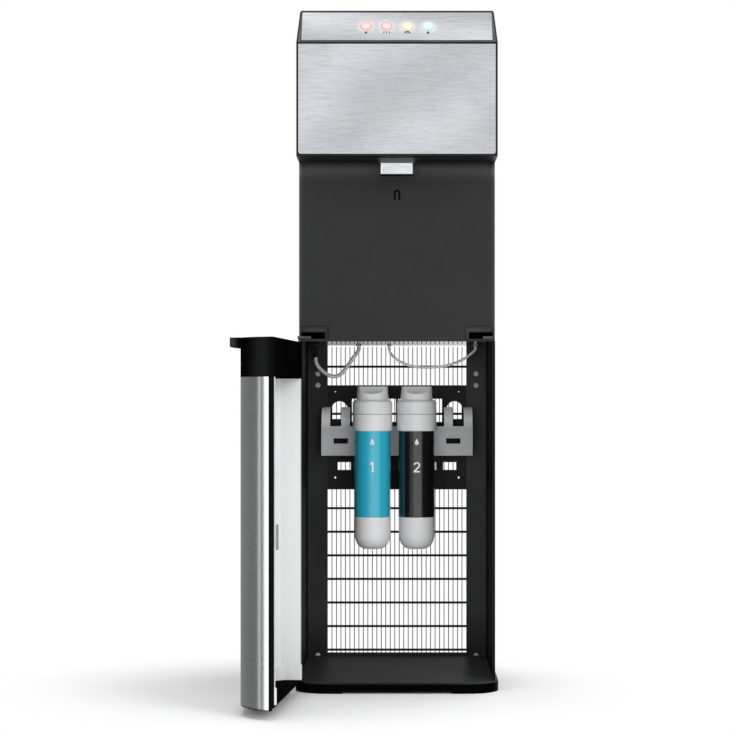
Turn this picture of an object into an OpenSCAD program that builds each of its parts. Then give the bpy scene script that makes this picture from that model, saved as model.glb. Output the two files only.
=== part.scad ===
// Floor-standing point-of-use water cooler with two filters behind a hinged door.
// Origin: on the floor, under the middle of the cabinet. The door opens toward -Y.

/* [Cabinet] */
// Width of the cabinet over its side panels
body_w = 305; // [290:1:330]
// Depth of the cabinet from its front edge to its rear flanges
body_d = 296; // [280:1:330]
// Height over the top of the head
body_h = 1050; // [1020:1:1100]
// Thickness of the steel side panels
sheet_t = 2; // [1.5:0.1:2.5]
// Width of each rear flange
flange_w = 33.5; // [28:0.5:36]
// Height of the deck's underside above the floor
deck_z = 545; // [538:1:565]
// Thickness of the deck
deck_t = 3; // [2:0.5:4]
// Drop of the lip along the deck's front edge
deck_lip = 1; // [0.5:0.5:3]

/* [Base] */
// Height of the base tray
base_h = 17; // [15:0.5:20]
// Reach of the base past each side panel
base_over = 6; // [5:0.5:10]
// Reach of the base past the cabinet front
base_front = 26; // [20:1:32]
// Radius of the two front corners of the base
base_corner = 50; // [40:1:60]
// Wall of the base tray
base_wall = 4; // [3:0.5:5]
// Height of the bevel along the base's upper edge
base_bevel = 2.5; // [1.5:0.5:4]
// Diameter of each rubber foot
foot_d = 30; // [24:1:36]

/* [Head] */
// Height of the head's underside above the floor
head_z = 822.5; // [812:0.5:832]
// Reach of the head past the cabinet front
head_over = 86; // [80:1:95]
// Height of the sloping control strip
slope_h = 55; // [48:1:60]
// Depth of the sloping control strip
slope_d = 43; // [38:1:50]
// Wall of the head shell
head_wall = 3; // [2.5:0.5:4]
// Thickness of the brushed steel plates
plate_t = 1.2; // [1:0.1:1.5]
// Dark border left around the steel plates
plate_border = 3; // [2:0.5:5]
// Border of the head at each end of the sloping strip
strip_border = 7.8; // [6:0.1:10]
// How much the head narrows on each side towards its top
head_taper = 4; // [3:0.5:5]
// Radius of the front plate's corners
plate_corner = 4; // [3:1:14]

/* [Buttons] */
// Diameter of each push button
button_d = 17.4; // [15:0.1:19]
// Distance between neighbouring buttons
button_pitch = 31.4; // [26:0.1:34]
// How far the buttons sit below the strip's middle
button_drop = 2.5; // [0:0.5:6]
// Travel of each button
button_travel = 1.2; // [0.8:0.1:1.6]
// Clearance around each button
button_fit = 0.3; // [0.25:0.05:0.5]

/* [Spout] */
// Width of the bright spout cover
spout_w = 53; // [44:1:58]
// Depth of the spout cover
spout_d = 36; // [30:1:44]
// Height of the spout cover
spout_h = 17; // [14:1:20]
// Height of the dark base above the spout cover
spout_base_h = 8; // [4:0.5:10]
// Diameter of each water nozzle
nozzle_d = 9; // [7:0.5:11]

/* [Alcove] */
// Thickness of the alcove panel
alcove_t = 3; // [2.5:0.5:4]
// Radius of the alcove panel's side edges
alcove_round = 10; // [8:1:14]
// Depth of the alcove panel's side returns
alcove_return = 16; // [15:1:24]
// Radius of the cove below the head
cove_r = 18; // [8:1:22]
// Width of the sensor window
sensor_w = 10; // [8:0.5:12]
// Height of the sensor window
sensor_h = 16; // [14:0.5:20]
// Height of the middle of the sensor window above the floor
sensor_z = 772; // [756:1:782]
// Width of the hinge pockets in the panel's lower corners
pocket_w = 44; // [38:1:50]
// Height of the hinge pockets
pocket_h = 24; // [20:1:30]
// Depth of the hinge pockets
pocket_d = 12; // [8:1:16]

/* [Door] */
// Width of the door
door_w = 309; // [300:1:312]
// Gap between the cabinet front and the door
door_gap = 3; // [2.5:0.1:4]
// Depth of the door at its middle
door_bulge = 64; // [60:1:70]
// Thickness of the door at its vertical edges
door_edge = 6.8; // [6.6:0.1:8]
// Radius of the bow across the door's middle
bow_r = 585; // [560:1:640]
// Radius of the door's rounded sides
side_r = 83; // [78:1:88]
// Gap between the base and the lower end of the door
door_lift = 1; // [0.8:0.1:3]
// How far the skin and the free edge hang below the door's foot
apron = 4; // [3:0.5:4.5]
// Height of the black cap along the top of the door
cap_h = 56.5; // [52:0.5:62]
// Gap between the door cap and the alcove panel
cap_gap = 2.5; // [2:0.1:4]
// Angle at which the door stands open
door_angle = 95; // [60:1:110]
// Thickness of the stainless door skin
skin_t = 1.2; // [1:0.1:1.5]
// Wall of the white liner
liner_t = 2.5; // [2:0.1:3.5]
// Width of the liner's border around its recess
liner_border = 12; // [10:1:16]
// Width of the black trim on each vertical edge
trim_w = 8.5; // [8:0.1:10]
// Thickness of the plate across the door's lower end
foot_plate_t = 3; // [2.5:0.5:4]
// Forward reach of the pull lip
lip_reach = 15.5; // [12:0.5:18]
// Thickness of the pull lip
lip_t = 12.4; // [10:0.1:14]
// Distance from each end of the door to the pull lip
lip_inset = 42; // [36:1:50]
// Diameter of the hinge pins
pin_d = 4; // [3.5:0.1:4.2]
// Radial clearance of the hinge pins
pin_fit = 0.05; // [0.03:0.01:0.08]
// Length of each hinge pin inside the door
pin_grip = 12; // [10:1:16]

/* [Drip tray] */
// Wall of the door cap around the tray
cap_wall = 6; // [5:0.5:8]
// Floor of the door cap under the tray
cap_floor = 8; // [6:1:12]
// Wall of the drip tray
tray_wall = 2; // [1.5:0.1:2.5]
// Thickness of the drip grate
grate_t = 3; // [2.5:0.1:4]
// Width of the slots in the grate
slot_w = 4; // [3:0.5:5]
// Width of the bars between the slots
bar_w = 4; // [3:0.5:5]

/* [Filters] */
// Distance between the two filters
filter_pitch = 72.6; // [68:0.1:76]
// Sideways offset of the filter pair
filter_shift = -4; // [-6:0.5:2]
// Distance of the filter axes from the cabinet front
filter_depth = 200; // [190:1:210]
// Diameter of the filter body
filter_d = 59; // [54:0.5:60]
// Diameter of the filter head and collar
collar_d = 65; // [62:0.5:67]
// Height of the filter bottoms above the floor
filter_z = 208.3; // [200:0.1:220]
// Height of the round lower end
dome_h = 52.7; // [46:0.1:56]
// Height of the label
label_h = 141; // [130:1:150]
// Thickness of the label
label_t = 0.35; // [0.3:0.05:0.5]
// Height of the collar
collar_h = 26.5; // [22:0.5:30]
// Height of the fixed filter head's round part
filter_head_h = 23; // [20:1:26]
// Height of the tapered cap on the filter head
filter_cap_h = 22; // [18:1:25]

/* [Filter bracket] */
// Height of the back plate
back_plate_h = 176; // [160:1:190]
// Height of the back plate's lower edge above the floor
back_plate_z = 302; // [292:0.5:312]
// Thickness of the back plate
back_plate_t = 2.5; // [2:0.1:3]
// Width of the grey bracket
bracket_w = 253; // [246:1:256]
// Height of the bracket's face
bracket_h = 49; // [44:1:54]
// Height of the bracket's lower edge above the floor
bracket_z = 360; // [352:1:368]
// Height of the upright tabs above the bracket's face
tab_h = 33; // [26:1:38]
// Width of each upright tab
tab_w = 14.5; // [12:0.5:17]
// Distance from the back plate to the bracket's face
bracket_d = 38; // [32:1:44]
// Thickness of the bracket sheet
bracket_t = 2; // [1.5:0.1:3]

/* [Condenser] */
// Diameter of the condenser tube
tube_d = 4; // [3.5:0.1:4.8]
// Distance between the rows of the tube
tube_pitch = 39.9; // [38:0.1:41]
// Number of rows
tube_rows = 13; // [9:2:13]
// Height of the lowest row above the floor
tube_z = 30.6; // [29:0.1:36]
// Distance of the condenser's outermost turns from the cabinet's side
tube_margin = 14; // [12:0.5:18]
// Diameter of the condenser wires
wire_d = 1.4; // [1.2:0.1:1.8]
// Distance between the wires
wire_pitch = 7.58; // [7.2:0.01:7.6]
// Number of wires
wire_count = 30; // [20:1:30]

/* [Hoses and inner parts] */
// Diameter of the silver inlet hose
hose_d = 6.3; // [5.5:0.1:7]
// Diameter of the white outlet tube
outlet_d = 4.2; // [4:0.1:5]
// Distance of the inlet hose's elbow from the side panel
elbow_inset = 14.5; // [13:0.5:18]
// Place across the deck where the inlet hose goes up
inlet_hole_x = -64; // [-70:1:-60]
// Depth of the inlet hose's bow below the deck
inlet_sag = 50; // [46:1:54]
// Place across the deck where the outlet tube comes down
outlet_hole_x = -13; // [-18:1:-8]
// Distance of the outlet tube's far end from the side panel
outlet_inset = 19.5; // [16:0.5:24]
// Depth of the outlet tube's bow below the deck
outlet_sag = 35; // [32:1:40]
// Diameter of the compressor shell
compressor_d = 120; // [100:1:124]
// Height of the compressor shell
compressor_h = 130; // [110:1:150]
// Diameter of the cold tank
cold_d = 146; // [130:1:150]
// Height of the cold tank
cold_h = 210; // [180:1:240]
// Diameter of the hot tank
hot_d = 90; // [80:1:96]
// Height of the hot tank
hot_h = 150; // [120:1:180]
// Bore of the water inlet port
port_bore = 6.5; // [6:0.1:8]
// Depth of the water inlet port's bore
port_depth = 18; // [15:1:20]
// Width of each rear rocker switch
rocker_w = 14; // [12:0.5:16]

/* [Hidden] */
$fn = 48;

// Small overlap that lets a cut run past a face
eps = 0.5;
// Clearance between pieces that are set into each other
fit = 0.3;
// Clearance between layers of one assembly
seam = 0.2;

// Cabinet planes
half_w = body_w / 2;
inner_x = half_w - sheet_t;
y_front = -body_d / 2;
y_rear = body_d / 2;
flange_x = inner_x - flange_w;
deck_top = deck_z + deck_t;
panel_y = y_front + alcove_return + seam;

// Base, wide enough to carry the door's lower hinge
base_margin = 4;
base_x = max(half_w + base_over, door_w / 2 + base_margin);
base_rear = y_rear + 9;
base_rear_corner = 12;
floor_gap = 6;
floor_rise = 5;
toe_half = 84;
toe_h = 3;
foot_h = 5;
foot_inset = 34;
ear_r = 6;
ear_h = 12;
ear_reach = 30;
pin_seat = 9;

// Hinge axis, centred in the door's edge
hinge_x = -door_w / 2 + door_edge / 2;
hinge_y = y_front - door_gap - door_edge / 2;

// Door levels
door_z = base_h + door_lift;
cap_top = deck_z - cap_gap;
cap_z = cap_top - cap_h;
skin_h = cap_z - door_z;
liner_z = door_z + foot_plate_t;
liner_x = door_w / 2 - trim_w;
recess_x = liner_x - liner_border;
liner_inset = skin_t + fit;
well_x = door_w / 2 - 16;
straight_x = 58;
slot_z = 220;
slot_h = 38;
slot_t = 3;
slot_d = 36;
block_h = 24;
block_w = 5;
block_t = 2;

// Door outline: the bow across the middle runs into a rounded side at each end
bow_c = [0, door_bulge - bow_r];
edge_p = [door_w / 2, door_edge];
bow_span = norm(edge_p - bow_c);
bow_dir = (edge_p - bow_c) / bow_span;
bow_a = (pow(bow_r - side_r, 2) - pow(side_r, 2) + pow(bow_span, 2)) / (2 * bow_span);
bow_h = sqrt(pow(bow_r - side_r, 2) - pow(bow_a, 2));
side_c = bow_c + bow_a * bow_dir + bow_h * [-bow_dir.y, bow_dir.x];
edge_turn = atan2(edge_p.y - side_c.y, edge_p.x - side_c.x);
bow_turn = atan2(side_c.y - bow_c.y, side_c.x - bow_c.x);
side_steps = 14;
bow_steps = 10;

// Head profile in the Y-Z plane
head_y = y_front - head_over;
slope_z = body_h - slope_h;
slope_l = norm([slope_d, slope_h]);
slope_a = atan2(slope_h, slope_d);
inner_z0 = slope_z - head_wall * (slope_l - slope_h) / slope_d;
inner_s = (slope_h - head_wall + head_wall * slope_d / slope_l) * slope_l / slope_h;
inner_y1 = head_y + head_wall * slope_h / slope_l + inner_s * slope_d / slope_l;
lid_margin = 14;
lid_front = head_y + slope_d + lid_margin;
lid_rear = y_rear - lid_margin;
lid_x = half_w - head_taper - lid_margin;
lid_t = 2.5;

// Buttons and the board under them
button_proud = 2;
button_flange = 1.5;
flange_top = -head_wall - fit;
flange_t = 2.5;
stem_d = 5;
stem_l = 2.5;
board_top = flange_top - flange_t - stem_l - button_travel - fit;
board_t = 1.6;
board_x = 72;
board_y = 15;
post_d = 5;

// Spout under the head
spout_y = y_front - 45;
spout_base_z = head_z - spout_base_h;
spout_z = spout_base_z - spout_h;
spout_wall = 3;
nozzle_pitch = 18;
nozzle_bore = 5;
collar_drop = 0.8;
collar_reach = 8;
collar_t = 1.5;

// Filters
filter_y = y_front + filter_depth;
label_z = filter_z + dome_h;
label_gap = 1;
collar_z = label_z + label_h + label_gap;
twist_gap = 0.6;
filter_head_z = collar_z + collar_h + twist_gap;
filter_cap_z = filter_head_z + filter_head_h;
neck_d = 40;
neck_h = 14;
cap_d0 = 53;
cap_d1 = 50;
shoulder = 3.5;
scoop_r = 26;
scoop_at = [36, 12];
arm_w = 34;
arm_h = 18;
leg_t = 8;
leg_gap = 2;
leg_drop = 36;

// Back plate and bracket
plate_y = y_rear - back_plate_t;
face_y = max(plate_y - bracket_d, filter_y + collar_d / 2 + leg_gap + leg_t);
tab_x = [86, 119];
mid_slot_x = 94;
mid_slot_w = 24;
mid_slot_h = 9;

// Condenser behind the rear flanges
wire_y = y_rear + fit + wire_d / 2;
tube_y = wire_y + wire_d / 2 + seam + tube_d / 2;
wire_gap = 2;
bend_r = tube_pitch / 2;
bend_x = half_w - tube_margin;
bend_steps = 8;
clip_w = 12;
clip_h = 8;
clip_bore = tube_d + 1.6;

// Hoses in the plane behind the filters: each ends under the deck, or in the elbow on the left flange
hose_depth = 262;
hose_y = y_front + hose_depth;
grommet_h = 2;
hose_gap = 0.5;
hose_top = deck_z - grommet_h - hose_gap;
elbow_d = 11;
inlet_ends = [elbow_inset - inner_x, inlet_hole_x];
outlet_ends = [outlet_hole_x, inner_x - outlet_inset];

// Shape of each hose as [share of its span, share of its sag]
inlet_shape = [
    [0, 0.36], [0, 0.5], [0.083, 0.72], [0.25, 0.92], [0.417, 1], [0.583, 0.92],
    [0.736, 0.66], [0.861, 0.4], [0.972, 0.18], [1, 0.1], [1, 0]
];
outlet_shape = [
    [0, 0], [0, 0.171], [0.042, 0.457], [0.139, 0.743], [0.278, 0.943], [0.458, 1],
    [0.66, 0.914], [0.84, 0.657], [0.951, 0.343], [1, 0.143], [1, 0]
];
inlet_route = [for (p = inlet_shape) hang(inlet_ends, inlet_sag, p)];
outlet_route = [for (p = outlet_shape) hang(outlet_ends, outlet_sag, p)];
route_steps = 3;
hose_sides = 10;

// Places of the inner parts on the deck, as [X, distance from the cabinet front]
compressor_at = [80, 205];
cold_at = [-68, 190];
hot_at = [80, 78];
valve_at = [-80, 62];
mount_h = 12;

// Fittings on the rear panel, as [X, Z]
port_at = [-100, 600];
drain_at = [100, 590];
gland_at = [100, 650];
switch_at = [0, 760];
rocker_h = 20;
rocker_t = 5;
rocker_sink = 2;
rocker_room = 4;
frame_rim = 5;
rocker_pitch = 24;
rocker_pin_d = 3;
rocker_pin_l = 2;
frame_d = 8;

// Colours
black = "#1b1c1e";
charcoal = "#333436";
steel = "#b9bcc0";
white = "#ecedee";
grey = "#9a9da1";

// Block between two opposite corners
module block(a, b) {
    translate(a)
        cube(b - a);
}

// The same shape on the left and on the right
module both_sides() {
    children();
    mirror([1, 0, 0])
        children();
}

// Profile in the Y-Z plane, drawn along X between two places
module along_x(x0, x1) {
    translate([x0, 0, 0])
        rotate([90, 0, 90])
            linear_extrude(x1 - x0)
                children();
}

// Rod along Y from one place to another, at [x, z]
module rod_y(at, y0, y1, d) {
    translate([at.x, y0, at.y])
        rotate([-90, 0, 0])
            cylinder(d = d, h = y1 - y0);
}

// Points on an arc
function arc(c, r, a0, a1, n = 8) =
    [for (i = [0 : n]) c + r * [cos(a0 + (a1 - a0) * i / n), sin(a0 + (a1 - a0) * i / n)]];

// Rectangle with one radius at the front corners and another at the rear ones
function rounded(x, y0, y1, r0, r1) = concat(
    arc([x - r1, y1 - r1], r1, 0, 90),
    arc([r1 - x, y1 - r1], r1, 90, 180),
    arc([r0 - x, y0 + r0], r0, 180, 270),
    arc([x - r0, y0 + r0], r0, 270, 360)
);

// Smooth curve through a list of points, with the ends kept straight
function curve_point(a, b, c, d, t) =
    0.5 * (2 * b + (c - a) * t + (2 * a - 5 * b + 4 * c - d) * t * t
        + (3 * b - a - 3 * c + d) * t * t * t);
function curve(p, n) = concat(
    [for (i = [0 : len(p) - 2], j = [0 : n - 1])
        curve_point(p[max(i - 1, 0)], p[i], p[i + 1], p[min(i + 2, len(p) - 1)], j / n)],
    [p[len(p) - 1]]
);

// Point of a hose from the X of its ends, its sag and its shares of both: [X, Z]
function hang(ends, sag, share) =
    [ends[0] + share.x * (ends[1] - ends[0]), hose_top - share.y * sag];

// Tube along a route of [X, Z] points in one upright plane
module tube(route, y, d, sides) {
    last = len(route) - 1;
    rings = [for (i = [0 : last])
        let (
            way = route[min(i + 1, last)] - route[max(i - 1, 0)],
            along = way / norm(way)
        )
        for (k = [0 : sides - 1])
            let (turn = 360 * k / sides, out = d / 2 * cos(turn))
            [route[i].x - along.y * out, y + d / 2 * sin(turn), route[i].y + along.x * out]];
    walls = [for (i = [0 : last - 1], k = [0 : sides - 1])
        let (a = i * sides + k, b = i * sides + (k + 1) % sides)
        for (f = [[a, b, a + sides], [b, b + sides, a + sides]]) f];
    near = [for (k = [1 : sides - 2]) [0, k + 1, k]];
    end = last * sides;
    far = [for (k = [1 : sides - 2]) [end, end + k, end + k + 1]];
    polyhedron(rings, concat(walls, near, far));
}

// Outline of the base, drawn in by a distance
module base_outline(inset) {
    polygon(rounded(base_x - inset, y_front - base_front + inset, base_rear - inset,
        base_corner - inset, base_rear_corner - inset));
}

// Places of the four feet
module at_feet() {
    both_sides()
        for (y = [y_front + foot_inset, base_rear - foot_inset])
            translate([base_x - foot_inset, y, 0])
                children();
}

// Ear that carries the lower hinge pin
module base_ear() {
    translate([hinge_x, hinge_y, base_h - ear_h])
        cylinder(r = ear_r, h = ear_h);
    block([hinge_x - ear_r, hinge_y, base_h - ear_h],
        [hinge_x + ear_r, hinge_y + ear_reach, base_h - base_bevel]);
}

module base() {
    color(black)
        difference() {
            union() {
                linear_extrude(base_h - base_bevel)
                    base_outline(0);
                hull() {
                    translate([0, 0, base_h - base_bevel])
                        linear_extrude(seam)
                            base_outline(0);
                    translate([0, 0, base_h - seam])
                        linear_extrude(seam)
                            base_outline(base_bevel);
                }
                base_ear();
                along_x(seam - inner_x, inner_x - seam)
                    polygon([[y_front + floor_gap, base_h - eps], [y_rear - floor_gap, base_h - eps],
                        [y_rear - floor_gap, base_h + floor_rise]]);
            }
            difference() {
                translate([0, 0, -eps])
                    linear_extrude(base_h - base_wall + eps)
                        base_outline(base_wall);
                at_feet()
                    translate([0, 0, foot_h])
                        cylinder(d = foot_d, h = base_h);
                block([hinge_x, hinge_y, -eps], [hinge_x + ear_r + base_wall, hinge_y + ear_reach, base_h]);
            }
            block([-toe_half, y_front - base_front - eps, -eps], [toe_half, y_front, toe_h]);
            translate([hinge_x, hinge_y, base_h - pin_seat])
                cylinder(d = pin_d + 2 * pin_fit, h = pin_seat + eps);
        }
}

module rubber_feet() {
    color(charcoal)
        at_feet()
            cylinder(d = foot_d, h = foot_h);
}

// Side panel with its rear flange; the upper part starts behind the alcove panel
module side_panel() {
    color(black)
        union() {
            along_x(-half_w, -inner_x)
                polygon([[y_front, base_h], [y_rear, base_h], [y_rear, head_z], [panel_y, head_z],
                    [panel_y, deck_z], [y_front, deck_z]]);
            block([-inner_x - eps, y_rear - sheet_t, base_h], [-flange_x, y_rear, deck_z]);
            block([-inner_x - eps, y_front, base_h],
                [-inner_x + sheet_t, y_front + sheet_t, deck_z - deck_lip]);
        }
}

module side_left() {
    side_panel();
}

module side_right() {
    mirror([1, 0, 0])
        side_panel();
}

module deck() {
    tongue_x = half_w - alcove_t - seam;
    color(charcoal)
        union() {
            block([-inner_x, panel_y, deck_z], [inner_x, y_rear - sheet_t, deck_top]);
            block([-tongue_x, y_front + alcove_t + seam, deck_z], [tongue_x, panel_y + eps, deck_top]);
            block([-inner_x, y_front, deck_z - deck_lip], [inner_x, y_front + alcove_t + deck_t, deck_z]);
        }
}

module rear_panel() {
    color(black)
        union() {
            intersection() {
                block([-half_w, y_rear - sheet_t, deck_z], [half_w, y_rear, body_h]);
                head_front(head_wall + seam);
            }
            block([-inner_x, y_rear - sheet_t, deck_z], [inner_x, y_rear, head_z - seam]);
        }
}

module rear_sill() {
    color(black)
        block([-flange_x, y_rear - sheet_t, base_h], [flange_x, y_rear, tube_z - tube_d]);
}

// Window with an arched top, centred on X, standing on z0
module arched_window(w, h, z0) {
    translate([0, plate_y - eps, z0])
        rotate([-90, 0, 0])
            mirror([0, 1, 0])
                linear_extrude(back_plate_t + 2 * eps)
                    polygon(concat([[w / 2, 0], [w / 2, h - w / 2]],
                        arc([0, h - w / 2], w / 2, 0, 180), [[-w / 2, h - w / 2], [-w / 2, 0]]));
}

// Window right through the back plate between two corners in X and Z
module plate_window(a, b) {
    block([a.x, plate_y - eps, a.y], [b.x, y_rear + eps, b.y]);
}

// Back plate with screw holes, arched windows beside the filters and windows behind and below them
module back_plate() {
    top = back_plate_z + back_plate_h;
    hole_x = flange_x - 13;
    hole_d = 3.4;
    arch_x = 97;
    arch_z = top - 57;
    arch = [27, 30];
    big_z = top - 62;
    big = [74, 39];
    big_gap = 2;
    low_z = back_plate_z + 33;
    low = [22, 15];
    color(black)
        difference() {
            block([-flange_x, plate_y, back_plate_z], [flange_x, y_rear, top]);
            both_sides() {
                for (z = [back_plate_z + 20, top - 10])
                    rod_y([hole_x, z], plate_y - eps, y_rear + eps, hole_d);
                translate([arch_x, 0, 0])
                    arched_window(arch.x, arch.y, arch_z);
                plate_window([big_gap, big_z], [big_gap + big.x, big_z + big.y]);
                for (x = [55, 89])
                    plate_window([x - low.x / 2, low_z], [x + low.x / 2, low_z + low.y]);
            }
        }
}

// Grey channel on the back plate: a face with upright tabs, and a flange above and below
module filter_bracket() {
    half = bracket_w / 2;
    top = bracket_z + bracket_h;
    slot_mid = bracket_z + bracket_h / 2;
    color(grey)
        difference() {
            union() {
                block([-half, face_y, bracket_z], [half, face_y + bracket_t, top]);
                for (z = [bracket_z, top - bracket_t])
                    block([-half, face_y, z], [half, plate_y, z + bracket_t]);
                both_sides()
                    for (x = tab_x)
                        along_x(x - tab_w / 2, x + tab_w / 2)
                            polygon(concat(
                                arc([face_y + tab_h, top - eps], tab_h, 180, 100),
                                arc([face_y + tab_h, top - eps], tab_h - bracket_t, 100, 180)));
            }
            both_sides()
                block([mid_slot_x - mid_slot_w / 2, face_y - eps, slot_mid - mid_slot_h / 2],
                    [mid_slot_x + mid_slot_w / 2, face_y + bracket_t + eps, slot_mid + mid_slot_h / 2]);
        }
}

// Place of the left (-1) or right (1) filter
module at_filter(side) {
    translate([filter_shift + side * filter_pitch / 2, filter_y, 0])
        children();
}

// Fixed filter head: round body, tapered cap and a rear arm that is bolted to the bracket
module filter_head(side) {
    reach = face_y - filter_y;
    color(white)
        at_filter(side)
            difference() {
                union() {
                    translate([0, 0, filter_head_z])
                        cylinder(d = collar_d, h = filter_head_h - shoulder);
                    translate([0, 0, filter_cap_z - shoulder])
                        cylinder(d1 = collar_d, d2 = collar_d - 2 * shoulder, h = shoulder);
                    translate([0, 0, filter_cap_z])
                        cylinder(d1 = cap_d0, d2 = cap_d1, h = filter_cap_h);
                    block([-arm_w / 2, 0, filter_cap_z - arm_h], [arm_w / 2, reach, filter_cap_z]);
                    block([-arm_w / 2, reach - leg_t, filter_head_z - leg_drop],
                        [arm_w / 2, reach, filter_cap_z]);
                }
                translate([0, 0, filter_head_z - eps])
                    cylinder(d = neck_d + 2 * fit, h = neck_h + fit + eps);
                translate([-cap_d0 / 2, -scoop_at.x, filter_cap_z + filter_cap_h + scoop_at.y])
                    rotate([0, 90, 0])
                        cylinder(r = scoop_r, h = cap_d0);
            }
}

module filter_head_left() {
    filter_head(-1);
}

module filter_head_right() {
    filter_head(1);
}

// Quarter-turn cartridge: round lower end, body, collar and neck
module cartridge(side) {
    r = filter_d / 2;
    flat = 12;
    round_h = 24;
    round_z = filter_z + round_h;
    color(white)
        at_filter(side)
            rotate_extrude()
                polygon(concat(
                    [[0, filter_z]],
                    [for (i = [0 : 10]) [flat + (r - flat) * sin(9 * i), round_z - round_h * cos(9 * i)]],
                    [[r, collar_z], [collar_d / 2, collar_z], [collar_d / 2, collar_z + collar_h],
                        [neck_d / 2, collar_z + collar_h], [neck_d / 2, filter_head_z + neck_h],
                        [0, filter_head_z + neck_h]]
                ));
}

module cartridge_left() {
    cartridge(-1);
}

module cartridge_right() {
    cartridge(1);
}

// Printed sleeve around a cartridge
module label(side, tint) {
    inner_d = filter_d + 2 * pin_fit;
    color(tint)
        at_filter(side)
            translate([0, 0, label_z])
                difference() {
                    cylinder(d = inner_d + 2 * label_t, h = label_h);
                    translate([0, 0, -eps])
                        cylinder(d = inner_d, h = label_h + 2 * eps);
                }
}

module label_left() {
    label(-1, "#1f9fc0");
}

module label_right() {
    label(1, black);
}

module inlet_hose() {
    color(steel)
        tube(curve(inlet_route, route_steps), hose_y, hose_d, hose_sides);
}

module outlet_tube() {
    color(white)
        tube(curve(outlet_route, route_steps), hose_y, outlet_d, hose_sides);
}

// Elbow on the left rear flange that the inlet hose leaves
module inlet_elbow() {
    start = inlet_route[0];
    low = start.y + seam;
    top = low + elbow_d;
    color(steel)
        union() {
            rod_y([start.x, top], hose_y - elbow_d / 2, y_rear - sheet_t, elbow_d);
            translate([start.x, hose_y, low])
                cylinder(d = elbow_d - 2, h = elbow_d);
        }
}

// Rings under the deck where the hoses go up
module deck_grommets() {
    ends = [[inlet_route[len(inlet_route) - 1].x, hose_d], [outlet_route[0].x, outlet_d],
        [outlet_route[len(outlet_route) - 1].x, outlet_d]];
    rim = 1.4;
    color(charcoal)
        for (e = ends)
            translate([e.x, hose_y, deck_z - grommet_h])
                cylinder(d = e.y + 2 * rim, h = grommet_h);
}

// Dome screws in the rear flanges
module flange_screws() {
    screw_r = 4.4;
    low_screw = 4.7;
    screw_drop = 47.5;
    screw_pitch = 19.5;
    brim = 0.8;
    dome = 2;
    screw_x = (flange_x + inner_x) / 2;
    color(steel)
        both_sides()
            for (z = [base_h + low_screw, deck_z - screw_drop - screw_pitch, deck_z - screw_drop])
                translate([screw_x, y_rear - sheet_t, z])
                    rotate([90, 0, 0])
                        rotate_extrude()
                            polygon(concat([[0, 0], [screw_r, 0]],
                                [for (a = [0 : 15 : 90]) [screw_r * cos(a), brim + dome * sin(a)]]));
}

// Serpentine tube: straight rows joined by half turns
module condenser_tube() {
    half = bend_x - bend_r;
    route = [for (n = [0 : tube_rows - 1])
        let (side = n % 2 == 0 ? 1 : -1, z = tube_z + n * tube_pitch)
        for (p = concat(
            [[-side * half, z]],
            n == tube_rows - 1
                ? [[side * half, z]]
                : [for (i = [0 : bend_steps - 1])
                    let (a = -90 + 180 * i / bend_steps)
                    [side * (half + bend_r * cos(a)), z + bend_r + bend_r * sin(a)]]
        )) p];
    color(black)
        tube(route, tube_y, tube_d, 8);
}

module condenser_wires() {
    color(black)
        for (i = [0 : wire_count - 1])
            translate([(i - (wire_count - 1) / 2) * wire_pitch, wire_y, base_h + wire_gap])
                cylinder(d = wire_d, h = deck_z - base_h - 2 * wire_gap);
}

// Clips on the rear flanges around the outermost half turns
module condenser_clips() {
    spots = [[1, 0], [1, tube_rows - 3], [-1, 1], [-1, tube_rows - 2]];
    color(charcoal)
        for (s = spots)
            translate([s.x * bend_x, 0, tube_z + (s.y + 0.5) * tube_pitch])
                difference() {
                    block([-clip_w / 2, y_rear, -clip_h / 2], [clip_w / 2, tube_y + tube_d, clip_h / 2]);
                    translate([0, tube_y, -clip_h])
                        cylinder(d = clip_bore, h = 2 * clip_h);
                }
}

// Places on the deck
module on_deck(at) {
    translate([at.x, y_front + at.y, deck_top])
        children();
}

module compressor() {
    dome = 18;
    color(black)
        on_deck(compressor_at)
            translate([0, 0, mount_h])
                rotate_extrude()
                    polygon(concat([[0, 0], [compressor_d / 2, 0]],
                        [for (i = [0 : 8]) [compressor_d / 2 * cos(i * 90 / 8),
                            compressor_h - dome + dome * sin(i * 90 / 8)]]));
}

module compressor_mounts() {
    mount_d = 22;
    color(charcoal)
        on_deck(compressor_at)
            for (a = [90, 210, 330])
                rotate(a)
                    translate([compressor_d / 2 - mount_d / 2, 0, 0])
                        cylinder(d = mount_d, h = mount_h);
}

// Tank with a lid flange
module tank(at, d, h) {
    rim = 4;
    on_deck(at)
        union() {
            cylinder(d = d - 2 * rim, h = h);
            translate([0, 0, h - rim])
                cylinder(d = d, h = rim);
        }
}

module cold_tank() {
    color(white)
        tank(cold_at, cold_d, cold_h);
}

module hot_tank() {
    color(steel)
        tank(hot_at, hot_d, hot_h);
}

module tank_valves() {
    valve_pitch = 50;
    valve = [24, 34, 40];
    spigot_d = 10;
    color(white)
        on_deck(valve_at)
            for (s = [-1, 1])
                translate([s * valve_pitch / 2, 0, 0])
                    union() {
                        block([-valve.x / 2, -valve.y / 2, 0], [valve.x / 2, valve.y / 2, valve.z]);
                        cylinder(d = spigot_d, h = 2 * valve.z - valve.x);
                    }
}

// Push-fit inlet with an open bore at the rear
module inlet_port() {
    nut_d = 24;
    nut_h = 6;
    body_dia = 18;
    back = y_rear + port_depth + nut_h / 2;
    color(white)
        difference() {
            union() {
                rod_y(port_at, y_rear, back, body_dia);
                rod_y(port_at, y_rear, y_rear + nut_h, nut_d);
            }
            rod_y(port_at, back - port_depth, back + eps, port_bore);
        }
}

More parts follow.
